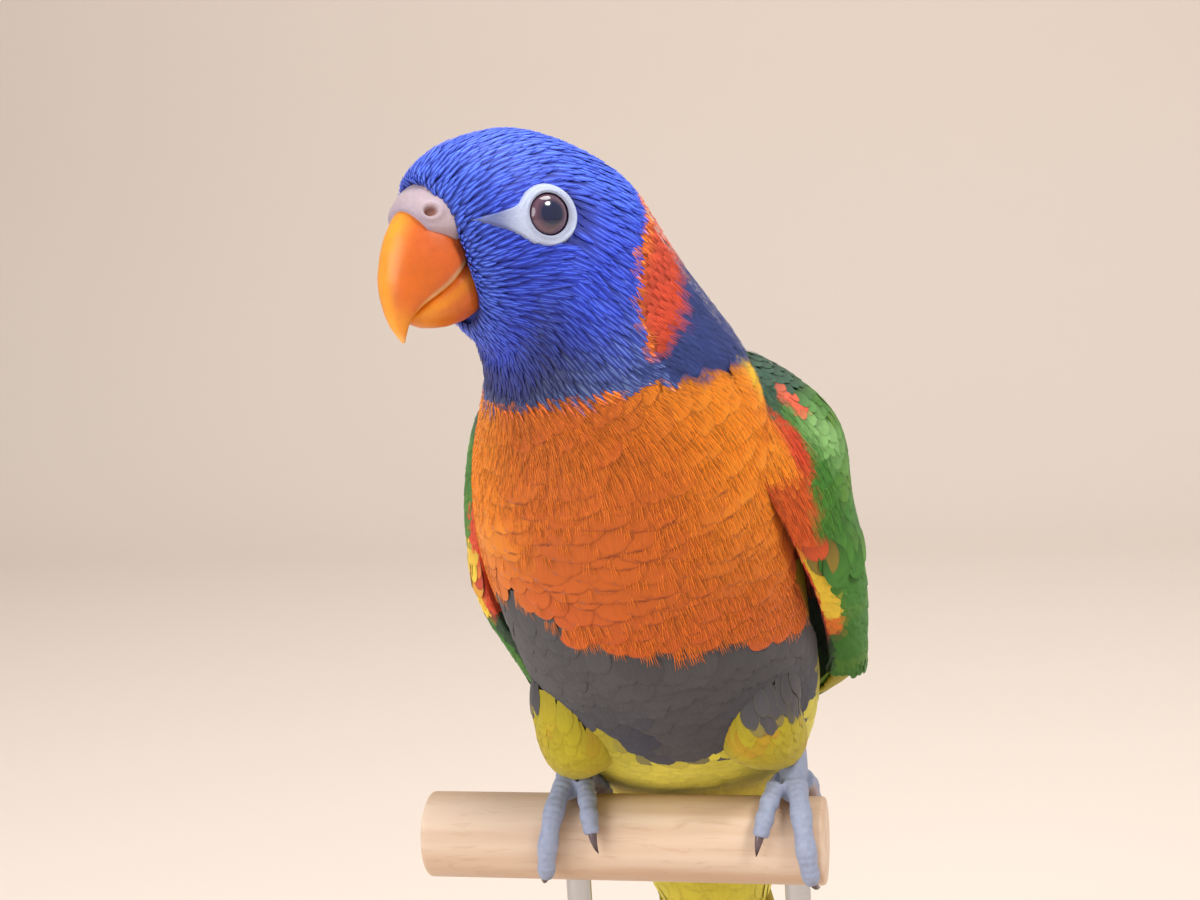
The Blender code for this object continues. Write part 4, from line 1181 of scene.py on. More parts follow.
def wingTint(sign, over, along, places):
    side, left = wingSides[sign], sign > 0
    fine = ripple(places, 8 * mm, 12)
    rough = along + ripple(places, 3 * mm, 13) * 0.12
    green = layered(
        wingPaint, "green",
        "edge", ease(0.0, 0.8, fine) * 0.35,
        # mantle: the shoulder's own greyer green, and a painted sheen over the wing's top by the back
        "mantle", np.maximum(ease(0.5, 0.8, over) * ease(3.5, 1.0, along), ease(1.15, 0.75, along)),
        # a painted highlight on the wing's bend
        "bend", ease(1.0, 0.2, np.hypot((along - 1.45) / 0.75, (over - 0.27) / 0.17)) * 0.8,
        "salmon", ease(1.1, 0.9, np.hypot((along - 0.85) / 0.28, (over - 0.25) / 0.06) + fine * 0.15) * left,
    )
    lining = layered(
        wingPaint, green,
        "under", ease(side["red"] - 0.05, side["red"] + 0.05, rough),
        coatPaint["breastSide"], ease(side["orange"] + 0.01, side["orange"] - 0.01, over) * ease(2.3, 1.9, along),
        coatPaint["breastRim"], ease(1.9, 2.15, rough) * ease(3.1, 2.9, rough) * left,
        "tip", ease(side["tip"], side["tip"] + 0.08, rough),
    )
    first, last, low, high = side["strip"]
    strip = layered(wingPaint, "strip", "amber", ease(side["amber"], side["amber"] + 0.1, rough))
    shown = ease(first - 0.04, first + 0.04, rough) * ease(last + 0.04, last - 0.04, rough)
    shown = shown * ease(low - 0.008, low + 0.004, over) * ease(high + 0.008, high - 0.004, over)
    return layered(wingPaint, green, lining, ease(0.008, -0.008, over - wingEdge(sign, along)), strip, shown)


def partWay(pair, share):
    first, last = np.array(pair, float)
    return first + (last - first) * share


def flightFeathers(sign):
    s = vaneShape
    x, r, _ = vaneGrid()
    made = []
    for name, f in flightSets.items():
        for share in np.arange(f["count"]) / (f["count"] - 1):
            root, tip, width, lift = (partWay(f[what], share) for what in ("root", "tip", "width", "height"))
            reach = tip[0] - root[0]
            along = root[0] + reach * r - 0.07 * reach * x**2 * r**2 * f["blunt"]
            half = width / 2 * vaneWidth(r, f["blunt"])
            across = root[1] + (tip[1] - root[1]) * r**1.15 + x * half / wingChord(along)
            height = lift - s["shingle"] * x + s["camber"] * (1 - x**2)
            top, under = (wingFacing(sign, along, across, height + face * s["thickness"] / 2) for face in (1, -1))
            tint = layered(
                wingPaint, wingTint(sign, np.maximum(across, 0.26), np.maximum(along, 2.0), top),
                "flight", 0.5 * (name != "greaterCoverts"),
                "web", ease(-0.2, 0.3, x) * 0.5,
                "edge", ease(-0.6, -0.95, x) * 0.5,
                "quill", ease(0.7, 0.95, r) * 0.7 * (name == "primaries"),
            )
            bar = ease(0.3, 0.36, r) * ease(0.62, 0.56, r) * (x > -0.7)
            made.append((top, under, tint, layered(wingPaint, "quill", "bar", bar)))
    return made


wingCoats = {  # size is the feathers' length at the ground's start and end, thin the share that grows at its end
    "coatWing": {"along": (0.0, 3.3, 60), "over": (-0.03, 1.0, 80), "size": (3.0, 9.0), "thin": 0.35, "inner": False,
                 "feather": "covert", "finish": "greenFeathers", "spacing": 1.4, "depth": 0.6, "sway": 5,
                 "ruffle": 0.06, "seed": 23},
    "coatUnderwing": {"along": (0.2, 5.6, 90), "over": (-0.62, 0.3, 90), "size": (4.5, 7.0), "thin": 1.0,
                      "inner": True, "feather": "covert", "finish": "bellyFeathers", "spacing": 1.2, "depth": 0.8,
                      "sway": 6, "ruffle": 0.08, "seed": 33},
    "coatFlank": {"along": (0.2, 3.0, 60), "over": (-0.3, 0.2, 60), "size": (4.2, 5.0), "thin": 1.0, "inner": True,
                  "feather": "barbs", "finish": "barbFeathers", "spacing": 1.0, "depth": 0.5, "sway": 8,
                  "ruffle": 0.08, "seed": 46},
}


def wingGround(name, sign, point, middle, s):
    alongs, overs = np.linspace(*s["along"]), np.linspace(*s["over"])
    u, v, places, lie, outward = surfaceGrid(point, middle, alongs, overs)
    mesh = plainMesh(name, places, gridFaces(len(alongs), len(overs), False))
    share = ease(alongs[0], alongs[-1], u)
    length = s["size"][0] + (s["size"][1] - s["size"][0]) * share
    past = wingEdge(sign, u) - v
    grows, slim = past < 0.02, 0.7
    if s["inner"]:
        start, _, _, high = wingSides[sign]["strip"]
        grows, slim = np.maximum(past, (v < high) * (u > start - 0.2) * 1.0) > -0.03, 0.38
    keep(mesh, home=places, outward=outward, lie=lie, tint=wingTint(sign, v, u, places),
         cover=(1 + (s["thin"] - 1) * share) * grows, held=ease(alongs[-1], alongs[-1] - 0.6, u),
         span=np.stack([length * slim, length, np.full(len(u), 2.0)], -1) * mm,
         unwrap=np.stack([(v + 1) / 2, u / 10, 0 * u], -1))
    return mesh


def makeWing(sign, side):
    def point(along, over):
        return wingPlace(sign, along, over)

    def middle(along, over):
        return wingPoint(sign, along, np.full(len(along), 0.5), 0.0)

    standsFor(vanePiece("wingVanes_" + side, flightFeathers(sign)), "green_plumage", "wing_" + side)
    form = formPiece("wingForm_" + side, point, middle, np.linspace(0, 8, 90), np.linspace(-1, 1, 90), False)
    for kind, s in wingCoats.items():
        if kind != "coatFlank" or sign > 0:
            name = f"{kind}_{side}"
            piece = layFeathers(name, wingGround(name, sign, point, middle, s), form, s | {"seed": s["seed"] + sign})
            standsFor(piece, "orange_plumage" if kind == "coatFlank" else "green_plumage")
    bpy.data.objects.remove(form)


for sign, side in sides:
    makeWing(sign, side)


# tail: twelve pointed feathers, the middle pair longest and uppermost
tailLine = [
    (-31.0, -14.0, 9.0, 3.5), (-35.0, -27.0, 12.0, 3.8), (-40.5, -42.0, 13.6, 2.8), (-46.5, -59.0, 13.4, 1.9),
    (-53.0, -77.0, 11.6, 1.3), (-59.5, -95.0, 8.2, 0.9), (-64.8, -109.0, 4.6, 0.6), (-68.0, -118.0, 1.8, 0.4),
]
tailSettings = {"count": 12, "turn": -0.3, "roof": 0.18, "width": 9.5, "shortest": 3.7, "blunt": 0.0}
tailPaint = {"top": paint(66, 118, 44), "edge": paint(120, 140, 44), "under": paint(168, 150, 52),
             "underBase": paint(206, 120, 44)}


def tailPlace(along, sideways, height):
    row = alongRows(tailLine, along)
    slope = alongRows(tailLine, np.minimum(along + 0.05, 7)) - alongRows(tailLine, np.maximum(along - 0.05, 0))
    down = unit(np.stack([0 * along, -slope[:, 0], slope[:, 1]], -1))
    back = np.cross(np.tile([1.0, 0, 0], (len(along), 1)), down)
    back *= np.sign(back[:, 1:2])
    roof = tailSettings["roof"] * sideways**2 / row[:, 2]
    place = np.stack([sideways, -row[:, 0], row[:, 1] - roof], -1) + back * np.asarray(height)[:, None]
    return standing(place, tailSettings["turn"])


def tailFeathers():
    s, v = tailSettings, vaneShape
    x, r, _ = vaneGrid()
    made = []
    for side in (np.arange(s["count"]) + 0.5) / s["count"] * 2 - 1:
        out = abs(side)
        tip = 7 - (7 - s["shortest"]) * out**1.15
        along = 0.2 + (tip - 0.2) * r - 0.1 * x**2 * r**2
        wide = alongRows(tailLine, along)
        half = s["width"] / 2 * vaneWidth(r, s["blunt"]) * (1 - 0.35 * (1 - out) * ease(0.5, 1, r))
        sideways = side * wide[:, 2] * (0.55 + 0.3 * r) + x * half
        lay = (0.55 - out) * 1.6 * np.minimum(wide[:, 3], 1.6) * (1 - 0.35 * r)
        height = lay - v["shingle"] * 0.6 * x * np.sign(side) + v["camber"] * (1 - x**2)
        top, under = (tailPlace(along, sideways, height + face * v["thickness"] / 2) for face in (1, -1))
        tint = layered(tailPaint, "top", "edge", ease(0.5, 1, np.abs(x)) * 0.7 + ease(0.8, 1, r) * 0.3)
        lower = layered(tailPaint, "under", "underBase", ease(0.5, 0.2, r) * (x * np.sign(side) < 0.2) * 0.8)
        made.append((top, under, tint, lower))
    return made


standsFor(vanePiece("tailVanes", tailFeathers()), "green_plumage", "tail")


# hard and bare pieces: colour kept on the mesh, the finish adds its grain
def bareFinish(name, s):
    board = Finish(name, s["fixed"])
    grain = board.noise(board.place(), s["scale"], 4.0, 0.6)
    broad = board.noise(board.place(), s["scale"] * 0.17, 2.0)
    light = 1 + (grain - 0.5) * s["grain"] + (broad - 0.5) * s["cloud"]
    board.give({"Base Color": board.scaled(board.kept("tint"), light),
                "Roughness": (grain - 0.5) * s["gloss"] + s["roughness"]})
    board.bump(s["bump"], 0.0002, grain + broad * 0.6)
    return board.material


softSkin = {"Subsurface Weight": 0.15, "Subsurface Radius": (0.001, 0.0006, 0.0005)}
bareKinds = {
    "billHorn": {"fixed": {"Subsurface Weight": 0.12, "Subsurface Radius": (0.002, 0.0008, 0.0003),
                           "Coat Weight": 0.08, "Coat Roughness": 0.25, "Specular IOR Level": 0.35},
                 "scale": 700.0, "grain": 0.26, "cloud": 0.4, "roughness": 0.4, "gloss": 0.25, "bump": 0.12},
    "bareSkin": {"fixed": softSkin, "scale": 2600.0, "grain": 0.25, "cloud": 0.2, "roughness": 0.62, "gloss": 0.2,
                 "bump": 0.5},
    "footScales": {"fixed": softSkin, "scale": 1500.0, "grain": 0.25, "cloud": 0.15, "roughness": 0.6, "gloss": 0.2,
                   "bump": 0.3},
    "clawHorn": {"fixed": {"Coat Weight": 0.3, "Coat Roughness": 0.2}, "scale": 900.0, "grain": 0.5, "cloud": 0.4,
                 "roughness": 0.38, "gloss": 0.2, "bump": 0.15},
}
finishes |= {name: bareFinish(name, s) for name, s in bareKinds.items()}


def finished(piece, finish, tint, slot, *replaced):  # gives a piece its colours, its finish and what it stands for
    keep(piece.data, tint=tint)
    piece.data.materials.clear()
    piece.data.materials.append(finishes[finish])
    piece.data.shade_smooth()
    standsFor(piece, slot, *replaced)


def withEnds(rows):  # a tube's ends each close on one more vertex
    return np.concatenate([rows, rows[:1], rows[-1:]])


# bill and cere
upperBill = [  # ridge (forward, up), edge (forward, up), half width, where it is widest
    (14.2, 2.4, 10.0, -9.0, 5.8, 0.68), (18.2, 2.6, 11.6, -10.4, 6.9, 0.72), (21.1, -0.4, 13.5, -11.9, 6.7, 0.74),
    (23.1, -4.8, 15.8, -13.1, 5.9, 0.74), (24.0, -9.5, 18.0, -14.3, 4.8, 0.7), (23.6, -13.7, 19.7, -15.8, 3.5, 0.64),
    (22.6, -17.0, 20.5, -17.8, 2.1, 0.55), (21.1, -19.8, 20.7, -19.7, 0.45, 0.5),
]
lowerBill = [
    (9.6, -5.8, 7.4, -16.0, 5.9, 0.3), (12.6, -7.6, 9.9, -17.1, 6.2, 0.3), (15.3, -10.4, 13.5, -17.8, 5.3, 0.32),
    (18.1, -13.0, 17.2, -17.6, 3.9, 0.35), (20.0, -15.0, 19.7, -16.6, 1.6, 0.5),
]
cereLine = [
    (13.0, 5.6, 11.0, -5.4, 5.6, 0.6), (16.0, 6.0, 12.4, -5.2, 7.5, 0.64), (18.4, 4.4, 14.6, -4.2, 7.2, 0.66),
    (19.8, 2.0, 17.2, -3.0, 5.6, 0.66),
]
billSettings = {"nostril": (5.0, 16.6, 0.9), "nostrilSize": (1.25, 0.95), "nostrilDepth": 0.9, "nostrilRim": 0.35,
                "growth": 0.018, "growthLines": 60, "grid": (70, 72), "cereGrid": (90, 128)}
billPaint = {
    "orange": paint(208, 102, 30), "yellow": paint(230, 150, 36), "red": paint(204, 88, 46),
    "tip": paint(226, 176, 104), "cere": paint(176, 156, 164), "cereEdge": paint(158, 142, 160),
    "nostril": paint(132, 84, 74), "gape": paint(226, 190, 150),
}


def hornGrid(line, rows, columns):  # rings round the bill: shares along, degrees round, head millimetres
    alongs, arounds = np.linspace(0, len(line) - 1, rows), np.arange(columns) * 360.0 / columns
    u, a = (part.ravel() for part in np.meshgrid(alongs, arounds, indexing="ij"))
    middle, places = ovalRing(alongRows(line, u), a)
    return u / (len(line) - 1), np.minimum(a, 360 - a), places, unit(places - middle)


def headTube(name, places, rows):
    return addPiece(name, tubeMesh(name, onHead(places).reshape(rows, -1, 3)))


def makeBill():
    s = billSettings
    for name, line, node in (("upperBill", upperBill, "bill_upper"), ("lowerBill", lowerBill, "bill_lower")):
        u, down, places, away = hornGrid(line, *s["grid"])
        lines = np.sin(u * s["growthLines"] + ripple(places, 3.0, 4) * 2.5) * s["growth"]
        places = places + away * (lines + ripple(places, 1.4, 8) * 0.05)[:, None]
        tint = layered(
            billPaint, "orange",
            "yellow", ease(0.3, 0.9, u) * 0.6,
            "yellow", ease(70, 95, down) * ease(110, 95, down) * 0.4,
        )
        if node == "bill_upper":
            ridge, lip, rim = ease(48, 8, down), ease(98, 122, down), np.exp(-(((down - 116) / 8) ** 2))
            tint = layered(
                billPaint, "orange",
                "yellow", np.maximum(ridge * ease(0.1, 0.3, u), lip * 0.8),
                "red", ease(0.5, 0.25, u) * (1 - ridge) * (1 - lip) * 0.4,
                "yellow", ease(0.62, 0.85, u) * 0.7,
                "tip", ease(0.88, 1.0, u) * 0.8,
                "gape", rim * ease(0.75, 0.45, u) * 0.8,
            )
        finished(headTube(name, places, s["grid"][0]), "billHorn", withEnds(tint), "bill", node)
    u, _, places, away = hornGrid(cereLine, *s["cereGrid"])
    tint = layered(billPaint, "cere", "cereEdge", ease(0.35, 0.0, u) + ease(0.8, 1.0, u) * 0.6)
    deep = np.zeros(len(u))
    for sign in (-1, 1):
        spot = np.array([s["nostril"][0] * sign, -s["nostril"][1], s["nostril"][2]])
        off = places - places[np.argmin(np.linalg.norm(places - spot, axis=1))]
        across = np.hypot(off[:, 0] * 0.9, off[:, 1]) / s["nostrilSize"][0]
        near = np.hypot(across, off[:, 2] / s["nostrilSize"][1])
        deep += -s["nostrilDepth"] * ease(1.0, 0.45, near) + s["nostrilRim"] * np.exp(-(((near - 1.35) / 0.4) ** 2))
        tint = mixed(tint, billPaint["nostril"], ease(1.05, 0.6, near))
    places = places + away * (deep + ripple(places, 1.2, 9) * 0.06)[:, None]
    finished(headTube("cerePad", places, s["cereGrid"][0]), "bareSkin", withEnds(tint), "bare_skin", "cere")


makeBill()


# eyes
eyePaint = {
    # the pupil's blue is a painted reflection over its black
    "pupil": paint(14, 22, 60), "iris": paint(94, 62, 78), "irisInner": paint(62, 44, 66), "limbus": paint(56, 38, 58),
    "white": paint(70, 56, 64), "skin": paint(182, 192, 218), "skinEdge": paint(84, 94, 152),
    "lid": paint(168, 176, 202),
}
eyeLook = {"pupil": 21, "iris": 43, "edge": 49, "bulge": 0.35, "skinRows": 26, "skinTurns": 120, "thickness": 0.35,
           "lidRim": 0.22}


def eyeFinish():
    board = Finish("eyeGloss", {"Roughness": 0.12, "Coat Weight": 1.0, "Coat Roughness": 0.02, "Coat IOR": 1.38})
    flecks = board.noise(board.place(), 2400.0, 3.0)
    board.give({"Base Color": board.scaled(board.kept("tint"), flecks * 0.5 + 0.75)})
    return board.material


finishes["eyeGloss"] = eyeFinish()


def makeEyeball(sign, side):
    e, s = eyeSettings, eyeLook
    centre, look, ahead, up = eyeAxes(sign)
    tilts = np.concatenate([np.linspace(0.6, 60, 60), np.linspace(64, 178, 20)])
    t, w = (part.ravel() for part in np.meshgrid(tilts, np.radians(np.arange(64) * 360 / 64), indexing="ij"))
    aside = np.cos(w)[:, None] * ahead + np.sin(w)[:, None] * up
    away = np.cos(np.radians(t))[:, None] * look + np.sin(np.radians(t))[:, None] * aside
    places = centre + away * (e["radius"] + s["bulge"] * ease(s["edge"], 20, t))[:, None]
    tint = layered(
        eyePaint, "pupil",
        "irisInner", ease(s["pupil"] - 1, s["pupil"] + 1, t),
        "iris", ease(s["pupil"] + 2, s["pupil"] + 12, t),
        "limbus", ease(s["iris"] - 6, s["iris"], t),
        "white", ease(s["edge"], s["edge"] + 3, t),
    )
    ball = headTube("eyeball_" + side, places, len(tilts))
    finished(ball, "eyeGloss", withEnds(tint), "eye", "eye_" + side)


def makeEyeSkin(sign, side):  # bare skin from the lid to the feathers, pointed towards the bill
    e, s = eyeSettings, eyeLook
    centre, look, ahead, up = eyeAxes(sign)
    turns = np.arange(s["skinTurns"]) * 2 * math.pi / s["skinTurns"]
    p, w = (part.ravel() for part in np.meshgrid(np.linspace(0, 1, s["skinRows"]), turns, indexing="ij"))
    past = (bareReach(w) + 0.9 - e["opening"]) * p
    far = e["opening"] + past
    flat = centre + ahead * (far * np.cos(w))[:, None] + up * (far * np.sin(w))[:, None]
    aim = Vector(unit(-look @ headTurned.T))
    start = 14  # millimetres out, from where the head's surface is looked for
    found = [bodyTree.ray_cast(Vector(place), aim, 0.04)[3] or 0.012 for place in onHead(flat + look * start)]
    onSkin = start - np.array(found) / mm
    lid = math.sqrt(e["radius"] ** 2 - e["opening"] ** 2) + 0.35
    height = lid + (onSkin - lid) * ease(0.0, 2.2, past)
    height = height + s["lidRim"] * np.exp(-(((past - 0.45) / 0.35) ** 2)) + 0.12 - 1.0 * ease(0.75, 1.0, p)
    height = height + np.sin(past * 7 + ripple(flat, 2.0, 14) * 2) * 0.05 * ease(0.2, 0.5, past)
    tint = layered(
        eyePaint, "lid",
        "skin", ease(0.3, 1.2, past),
        "skinEdge", np.minimum(ease(0.6, 1.0, p) * 0.5 + ease(1.2, 6.0, past) * 0.85, 0.9),
    ).reshape(s["skinRows"], -1, 3)
    top, low = ((flat + look * rise[:, None]).reshape(tint.shape) for rise in (height, height - s["thickness"]))
    rings = np.concatenate([top, low[::-1]])
    rows, columns = rings.shape[:2]
    last = (rows - 1) * columns
    faces = gridFaces(rows, columns)
    faces += [(last + j, last + (j + 1) % columns, (j + 1) % columns, j) for j in range(columns)]
    name = "bareSkin_" + side
    mesh = plainMesh(name, onHead(rings.reshape(-1, 3)), faces)
    outwards(mesh)
    tint = np.concatenate([tint, tint[::-1]]).reshape(-1, 3)
    finished(addPiece(name, mesh), "bareSkin", tint, "bare_skin", "eye_ring_" + side)


for sign, side in sides:
    makeEyeball(sign, side)
    makeEyeSkin(sign, side)


# feet and claws
footSettings = {"spacing": 22, "toeRadius": 1.95, "start": 11, "standoff": 1.08, "arch": 0.9, "pads": 3, "gap": 0.3,
                "scute": 1.25, "scuteRise": 0.34, "voxel": 0.22, "clawRadius": 0.95, "clawOverlap": 4,
                "toeTop": 142}
toeLine = {  # sideways at root and tip, degrees round the dowel of toe and claw, thickness
    "2": (-3.0, -5.6, 66, 26, 0.95), "3": (0.9, 3.9, 112, 22, 1.05), "1": (-2.4, -5.0, -62, -24, 0.85),
    "4": (1.8, 3.2, -100, -24, 1.0),
}
shankLine = [(21.5, -6.5, 13.0, 2.2), (22.0, -4.6, 8.6, 2.4), (22.0, -1.8, 5.4, 2.8), (22.0, -0.2, 3.2, 2.3)]
footPaint = {"scale": paint(148, 156, 180), "shade": paint(112, 116, 138), "pad": paint(180, 166, 168),
             "claw": paint(92, 74, 78), "clawTip": paint(44, 34, 36)}


def onDowel(x, degrees, lift):  # millimetres beside the dowel, from its top
    a = np.radians(degrees)
    reach = bodyLine["perchRadius"] + footSettings["gap"] + lift
    return np.stack([x, -reach * np.sin(a), reach * np.cos(a) - bodyLine["perchRadius"]], -1)


def standingFoot(points):  # a foot stands on the dowel, not with the leaning bird
    return points * mm + np.array([0, 0, bodyLine["perchTop"] * mm])


def pathTube(name, centres, radii, columns, raised=None):  # rings square to a path that doesn't run along X
    ahead = unit(np.gradient(centres, axis=0))
    side = unit(np.cross(ahead, [1.0, 0, 0]))
    other = np.cross(ahead, side)
    a = np.arange(columns) * 2 * math.pi / columns
    out = side[:, None] * np.cos(a)[None, :, None] + other[:, None] * np.sin(a)[None, :, None]
    reach = radii[:, None] if raised is None else radii[:, None] + raised(out)
    return tubeMesh(name, standingFoot(centres[:, None] + out * reach[..., None]))


def ridges(centres, size):  # across a toe or a shank
    run = np.cumsum(np.linalg.norm(np.gradient(centres, axis=0), axis=1)) / size
    return (np.abs(np.sin(run * math.pi)) ** 0.5 - 0.6)[:, None]


def toeTube(sign, root, tip, reach, radius):
    s = footSettings
    t = np.linspace(0, 1, 70)
    x = sign * (s["spacing"] + root + (tip - root) * t**0.8)
    degrees = math.copysign(s["start"], reach) * (1 - t) + reach * t
    centres = onDowel(x, degrees, radius * s["standoff"] + s["arch"] * (1 - t) ** 3)
    padded = 1.02 - 0.12 * t + 0.07 * np.cos(t * 2 * math.pi * s["pads"])
    fromWood = unit(centres + [0, 0, bodyLine["perchRadius"]]) * [0, 1, 1]

    def scutes(out):
        upper = np.clip((out * fromWood[:, None]).sum(-1), 0, 1) ** 0.6
        return upper * ridges(centres, s["scute"]) * s["scuteRise"]

    return pathTube("toe", centres, radius * padded * np.minimum(1, 0.72 + 3 * (1 - t)), 28, scutes)


def clawTube(sign, root, tip, reach, clawReach, radius):
    s = footSettings
    t = np.linspace(0, 1, 30)
    x = sign * (s["spacing"] + tip + 0.4 * (tip - root) * t)
    lift = radius * s["standoff"] + 0.5 * np.sin(math.pi * t) - 1.3 * t**1.5
    centres = onDowel(x, reach - math.copysign(s["clawOverlap"], reach) + clawReach * t, lift)
    return pathTube("claw", centres, s["clawRadius"] * (1 - 0.93 * t**1.3), 20)


def shankAndSole(sign):
    s = footSettings
    row = alongRows(shankLine, np.linspace(0, 3, 40))
    centres = row[:, :3] * [sign, -1, 1]

    def rings(out):
        return ridges(centres, s["scute"] * 1.2) * s["scuteRise"] * np.clip(-out[..., 1], 0, 1)

    middle = onDowel(sign * s["spacing"], 0, 1.9)
    sole = np.linspace(middle + [0, 3.2, 0.6], middle + [0, -3.4, 0.4], 20)
    return [pathTube("shank", centres, row[:, 3], 30, rings), pathTube("sole", sole, np.full(20, 2.3), 30)]


def makeFoot(sign, side):
    s = footSettings
    toes, claws = [], []
    for root, tip, reach, clawReach, thick in toeLine.values():
        radius = s["toeRadius"] * thick
        toes.append(toeTube(sign, root, tip, reach, radius))
        claws.append(clawTube(sign, root, tip, reach, clawReach, radius))
    foot = remeshed("foot_" + side, toes + shankAndSole(sign), s["voxel"] * mm, 1)
    places = onVertices(foot.data)
    centre = np.array([0, 0, (bodyLine["perchTop"] - bodyLine["perchRadius"]) * mm])
    inwards = -(unit((places - centre) * [0, 1, 1]) * onVertices(foot.data, "normal")).sum(-1)
    tint = layered(
        footPaint, "scale",
        "shade", ease(-0.2, 0.7, ripple(places, 1.3 * mm, 16)) * 0.25,
        "pad", ease(0.1, 0.7, inwards) * ease((s["toeTop"] + 1) * mm, (s["toeTop"] - 1) * mm, places[:, 2]),
    )
    finished(foot, "footScales", tint, "scaled_foot", "shank_" + side, *(f"toe_{side}_{n}" for n in toeLine))
    print("foot_" + side, len(foot.data.polygons), "faces")
    horn = withEnds(np.repeat(layered(footPaint, "claw", "clawTip", ease(0.3, 1.0, np.linspace(0, 1, 30))), 20, 0))
    name = "claws_" + side
    piece = addPiece(name, joinedMesh(name, claws))
    finished(piece, "clawHorn", np.tile(horn, (len(claws), 1)), "claw", *(f"claw_{side}_{n}" for n in toeLine))


for sign, side in sides:
    makeFoot(sign, side)


# dowel and stand
woodSettings = {
    "dowelWood": {"stretch": (18, 300, 300), "first": paint(218, 192, 168), "second": paint(206, 174, 146),
                  "line": paint(186, 148, 118), "roughness": 0.5, "bump": 0.15},
    "standWood": {"stretch": (16, 240, 240), "first": paint(150, 108, 72), "second": paint(124, 84, 52),
                  "line": paint(96, 62, 38), "roughness": 0.42, "bump": 0.12},
}


def woodFinish(name, s):
    board = Finish(name, {"Coat Weight": 0.08, "Coat Roughness": 0.3})
    long = board.vector("MULTIPLY", board.place(), s["stretch"])
    warp = board.noise(board.place(), 40.0, 2.0) * 3
    fibre = board.noise(board.vector("ADD", long, board.joined(warp, warp, warp)), 3.0, 6.0, 0.65)
    base = board.blend(board.noise(long, 0.6, 2.0).between(0.35, 0.65), s["first"], s["second"])
    base = board.blend(fibre.between(0.52, 0.75) * 0.55, base, s["line"])
    board.give({"Base Color": base, "Roughness": fibre * 0.2 + (s["roughness"] - 0.1)})
    board.bump(s["bump"], 0.0003, fibre)
    return board.material


def steelFinish(name):
    board = Finish(name, {"Metallic": 1.0, "Base Color": (0.5, 0.5, 0.51)})
    lines = board.noise(board.vector("MULTIPLY", board.place(), (1, 1, 60)), 90.0, 3.0)
    board.give({"Roughness": lines * 0.25 + 0.2})
    board.bump(0.05, 0.0001, lines)
    return board.material


finishes |= {name: woodFinish(name, s) for name, s in woodSettings.items()}
finishes["brushedSteel"] = steelFinish("brushedSteel")


def roundedRod(name, low, high, radius, bevel, axis, columns):  # a rod from low to high along an axis, its ends rounded
    ends = 1 - np.sin(np.radians(np.linspace(0, 90, 6)))
    inner = radius - bevel
    lengths = np.concatenate([
        [low, low], low + bevel * ends[::-1], np.linspace(low + bevel * 2, high - bevel * 2, 24),
        high - bevel * ends, [high, high]])
    body = np.concatenate([
        [inner * 0.5, inner * 0.9], radius - bevel * ends, np.full(24, radius), radius - bevel * ends[::-1],
        [inner * 0.9, inner * 0.5]])
    a = np.arange(columns) * 2 * math.pi / columns
    grid = np.zeros((len(body), columns, 3))
    grid[..., [k for k in range(3) if k != axis]] = np.stack([np.cos(a), np.sin(a)], -1) * body[:, None, None]
    grid[..., axis] = lengths[:, None]
    return tubeMesh(name, grid)


rods = {  # the node each fills, its axis, bevel and columns, finish and paint
    "dowel": ("perch", 0, 0.8 * mm, 96, "dowelWood", "dowel_wood"),
    "dressed_stand_rod_left": ("stand_rod_left", 2, 0.2 * mm, 48, "brushedSteel", "stand_steel"),
    "dressed_stand_rod_right": ("stand_rod_right", 2, 0.2 * mm, 48, "brushedSteel", "stand_steel"),
}


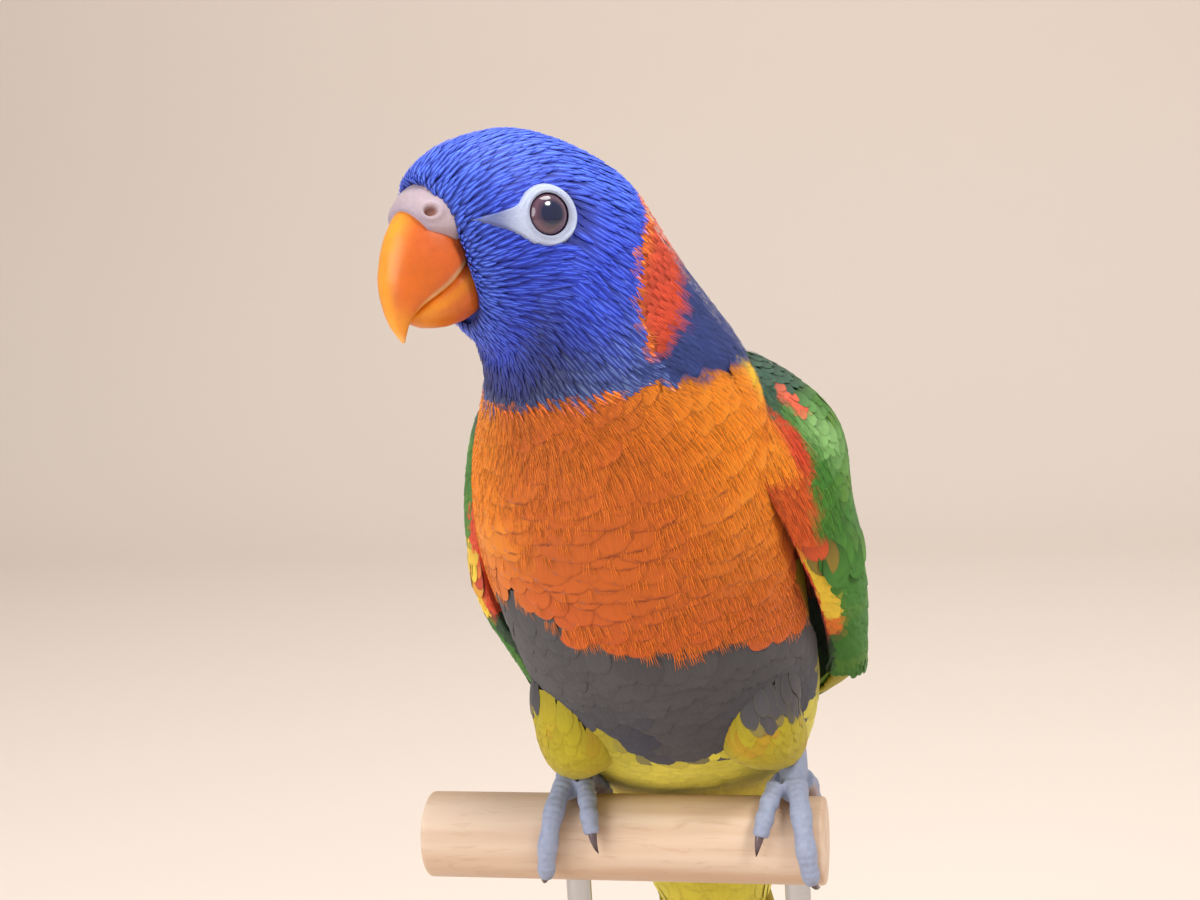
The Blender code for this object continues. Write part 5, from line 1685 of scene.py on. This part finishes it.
def makeStand():
    for name, (node, axis, bevel, columns, finish, slot) in rods.items():
        low, high = np.array(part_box(node))
        mesh = roundedRod(name, low[axis], high[axis], (high - low)[2 - axis] / 2, bevel, axis, columns)
        moved(mesh, np.where(np.arange(3) == axis, 0, (low + high) / 2))
        mesh.materials.append(finishes[finish])
        mesh.shade_smooth()
        standsFor(addPiece(name, mesh), slot, node)
    low, high = (Vector(corner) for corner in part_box("stand_base"))
    bm = bmesh.new()
    bmesh.ops.create_cube(bm, size=1)
    bmesh.ops.scale(bm, vec=high - low, verts=bm.verts)
    bmesh.ops.translate(bm, vec=(high + low) / 2, verts=bm.verts)
    bmesh.ops.bevel(bm, geom=bm.edges, offset=1.5 * mm, segments=5, profile=0.5, affect="EDGES")
    mesh = filledMesh("standBase", bm)
    mesh.materials.append(finishes["standWood"])
    standsFor(addPiece("dressed_stand_base", mesh), "stand_wood", "stand_base")


makeStand()


# floor, backdrop, light and camera
stageSettings = {"floor": paint(222, 209, 198), "size": 1.6, "depth": 1.2, "height": 1.4, "bend": 0.35, "half": 2.5}


def makeStage():  # one pale sheet, level in front and rising behind in a soft bend
    s = stageSettings
    profile = [(-s["size"], 0.0), (s["depth"] - s["bend"], 0.0)]
    for a in np.radians(np.arange(1, 13) * 7.5):
        profile.append((s["depth"] - s["bend"] + s["bend"] * math.sin(a), s["bend"] * (1 - math.cos(a))))
    profile.append((s["depth"], s["height"]))
    places = [(x, y, z) for y, z in profile for x in (-s["half"], s["half"])]
    sheet = addPiece("backdrop", plainMesh("backdrop", places, gridFaces(len(profile), 2, False)))
    sheet.data.shade_smooth()
    pale = Finish("paleBackdrop", {"Base Color": tuple(s["floor"]), "Roughness": 0.9})
    sheet.data.materials.append(pale.material)


lights = {  # place, width, power and colour
    "softKey": ((0.60, -0.40, 1.05), 0.34, 8, (1.0, 0.98, 0.95)),
    "softFill": ((-0.75, -0.75, 0.6), 0.9, 9, (0.97, 0.98, 1.0)),
    "topLight": ((0.1, 0.15, 1.15), 0.6, 6, (1.0, 0.99, 0.97)),
}
room = {"aim": (0, 0, 0.2), "colour": (1.0, 0.97, 0.94, 1), "strength": 0.5}


def makeLights():
    for name, (place, size, power, colour) in lights.items():
        data = bpy.data.lights.new(name, "AREA")
        data.shape = "DISK"
        data.size = size
        data.energy = power
        data.color = colour
        light = addPiece(name, data)
        light.location = place
        light.rotation_euler = (Vector(place) - Vector(room["aim"])).to_track_quat("Z", "Y").to_euler()
    world = bpy.data.worlds.new("room")
    bpy.context.scene.world = world
    world.use_nodes = True
    background = world.node_tree.nodes["Background"]
    background.inputs[0].default_value = room["colour"]
    background.inputs[1].default_value = room["strength"]
    bpy.context.scene.view_settings.view_transform = "Standard"


makeStage()
makeLights()
makeCamera()

for helper in [bodyForm, *featherPieces.values()]:
    bpy.data.objects.remove(helper)
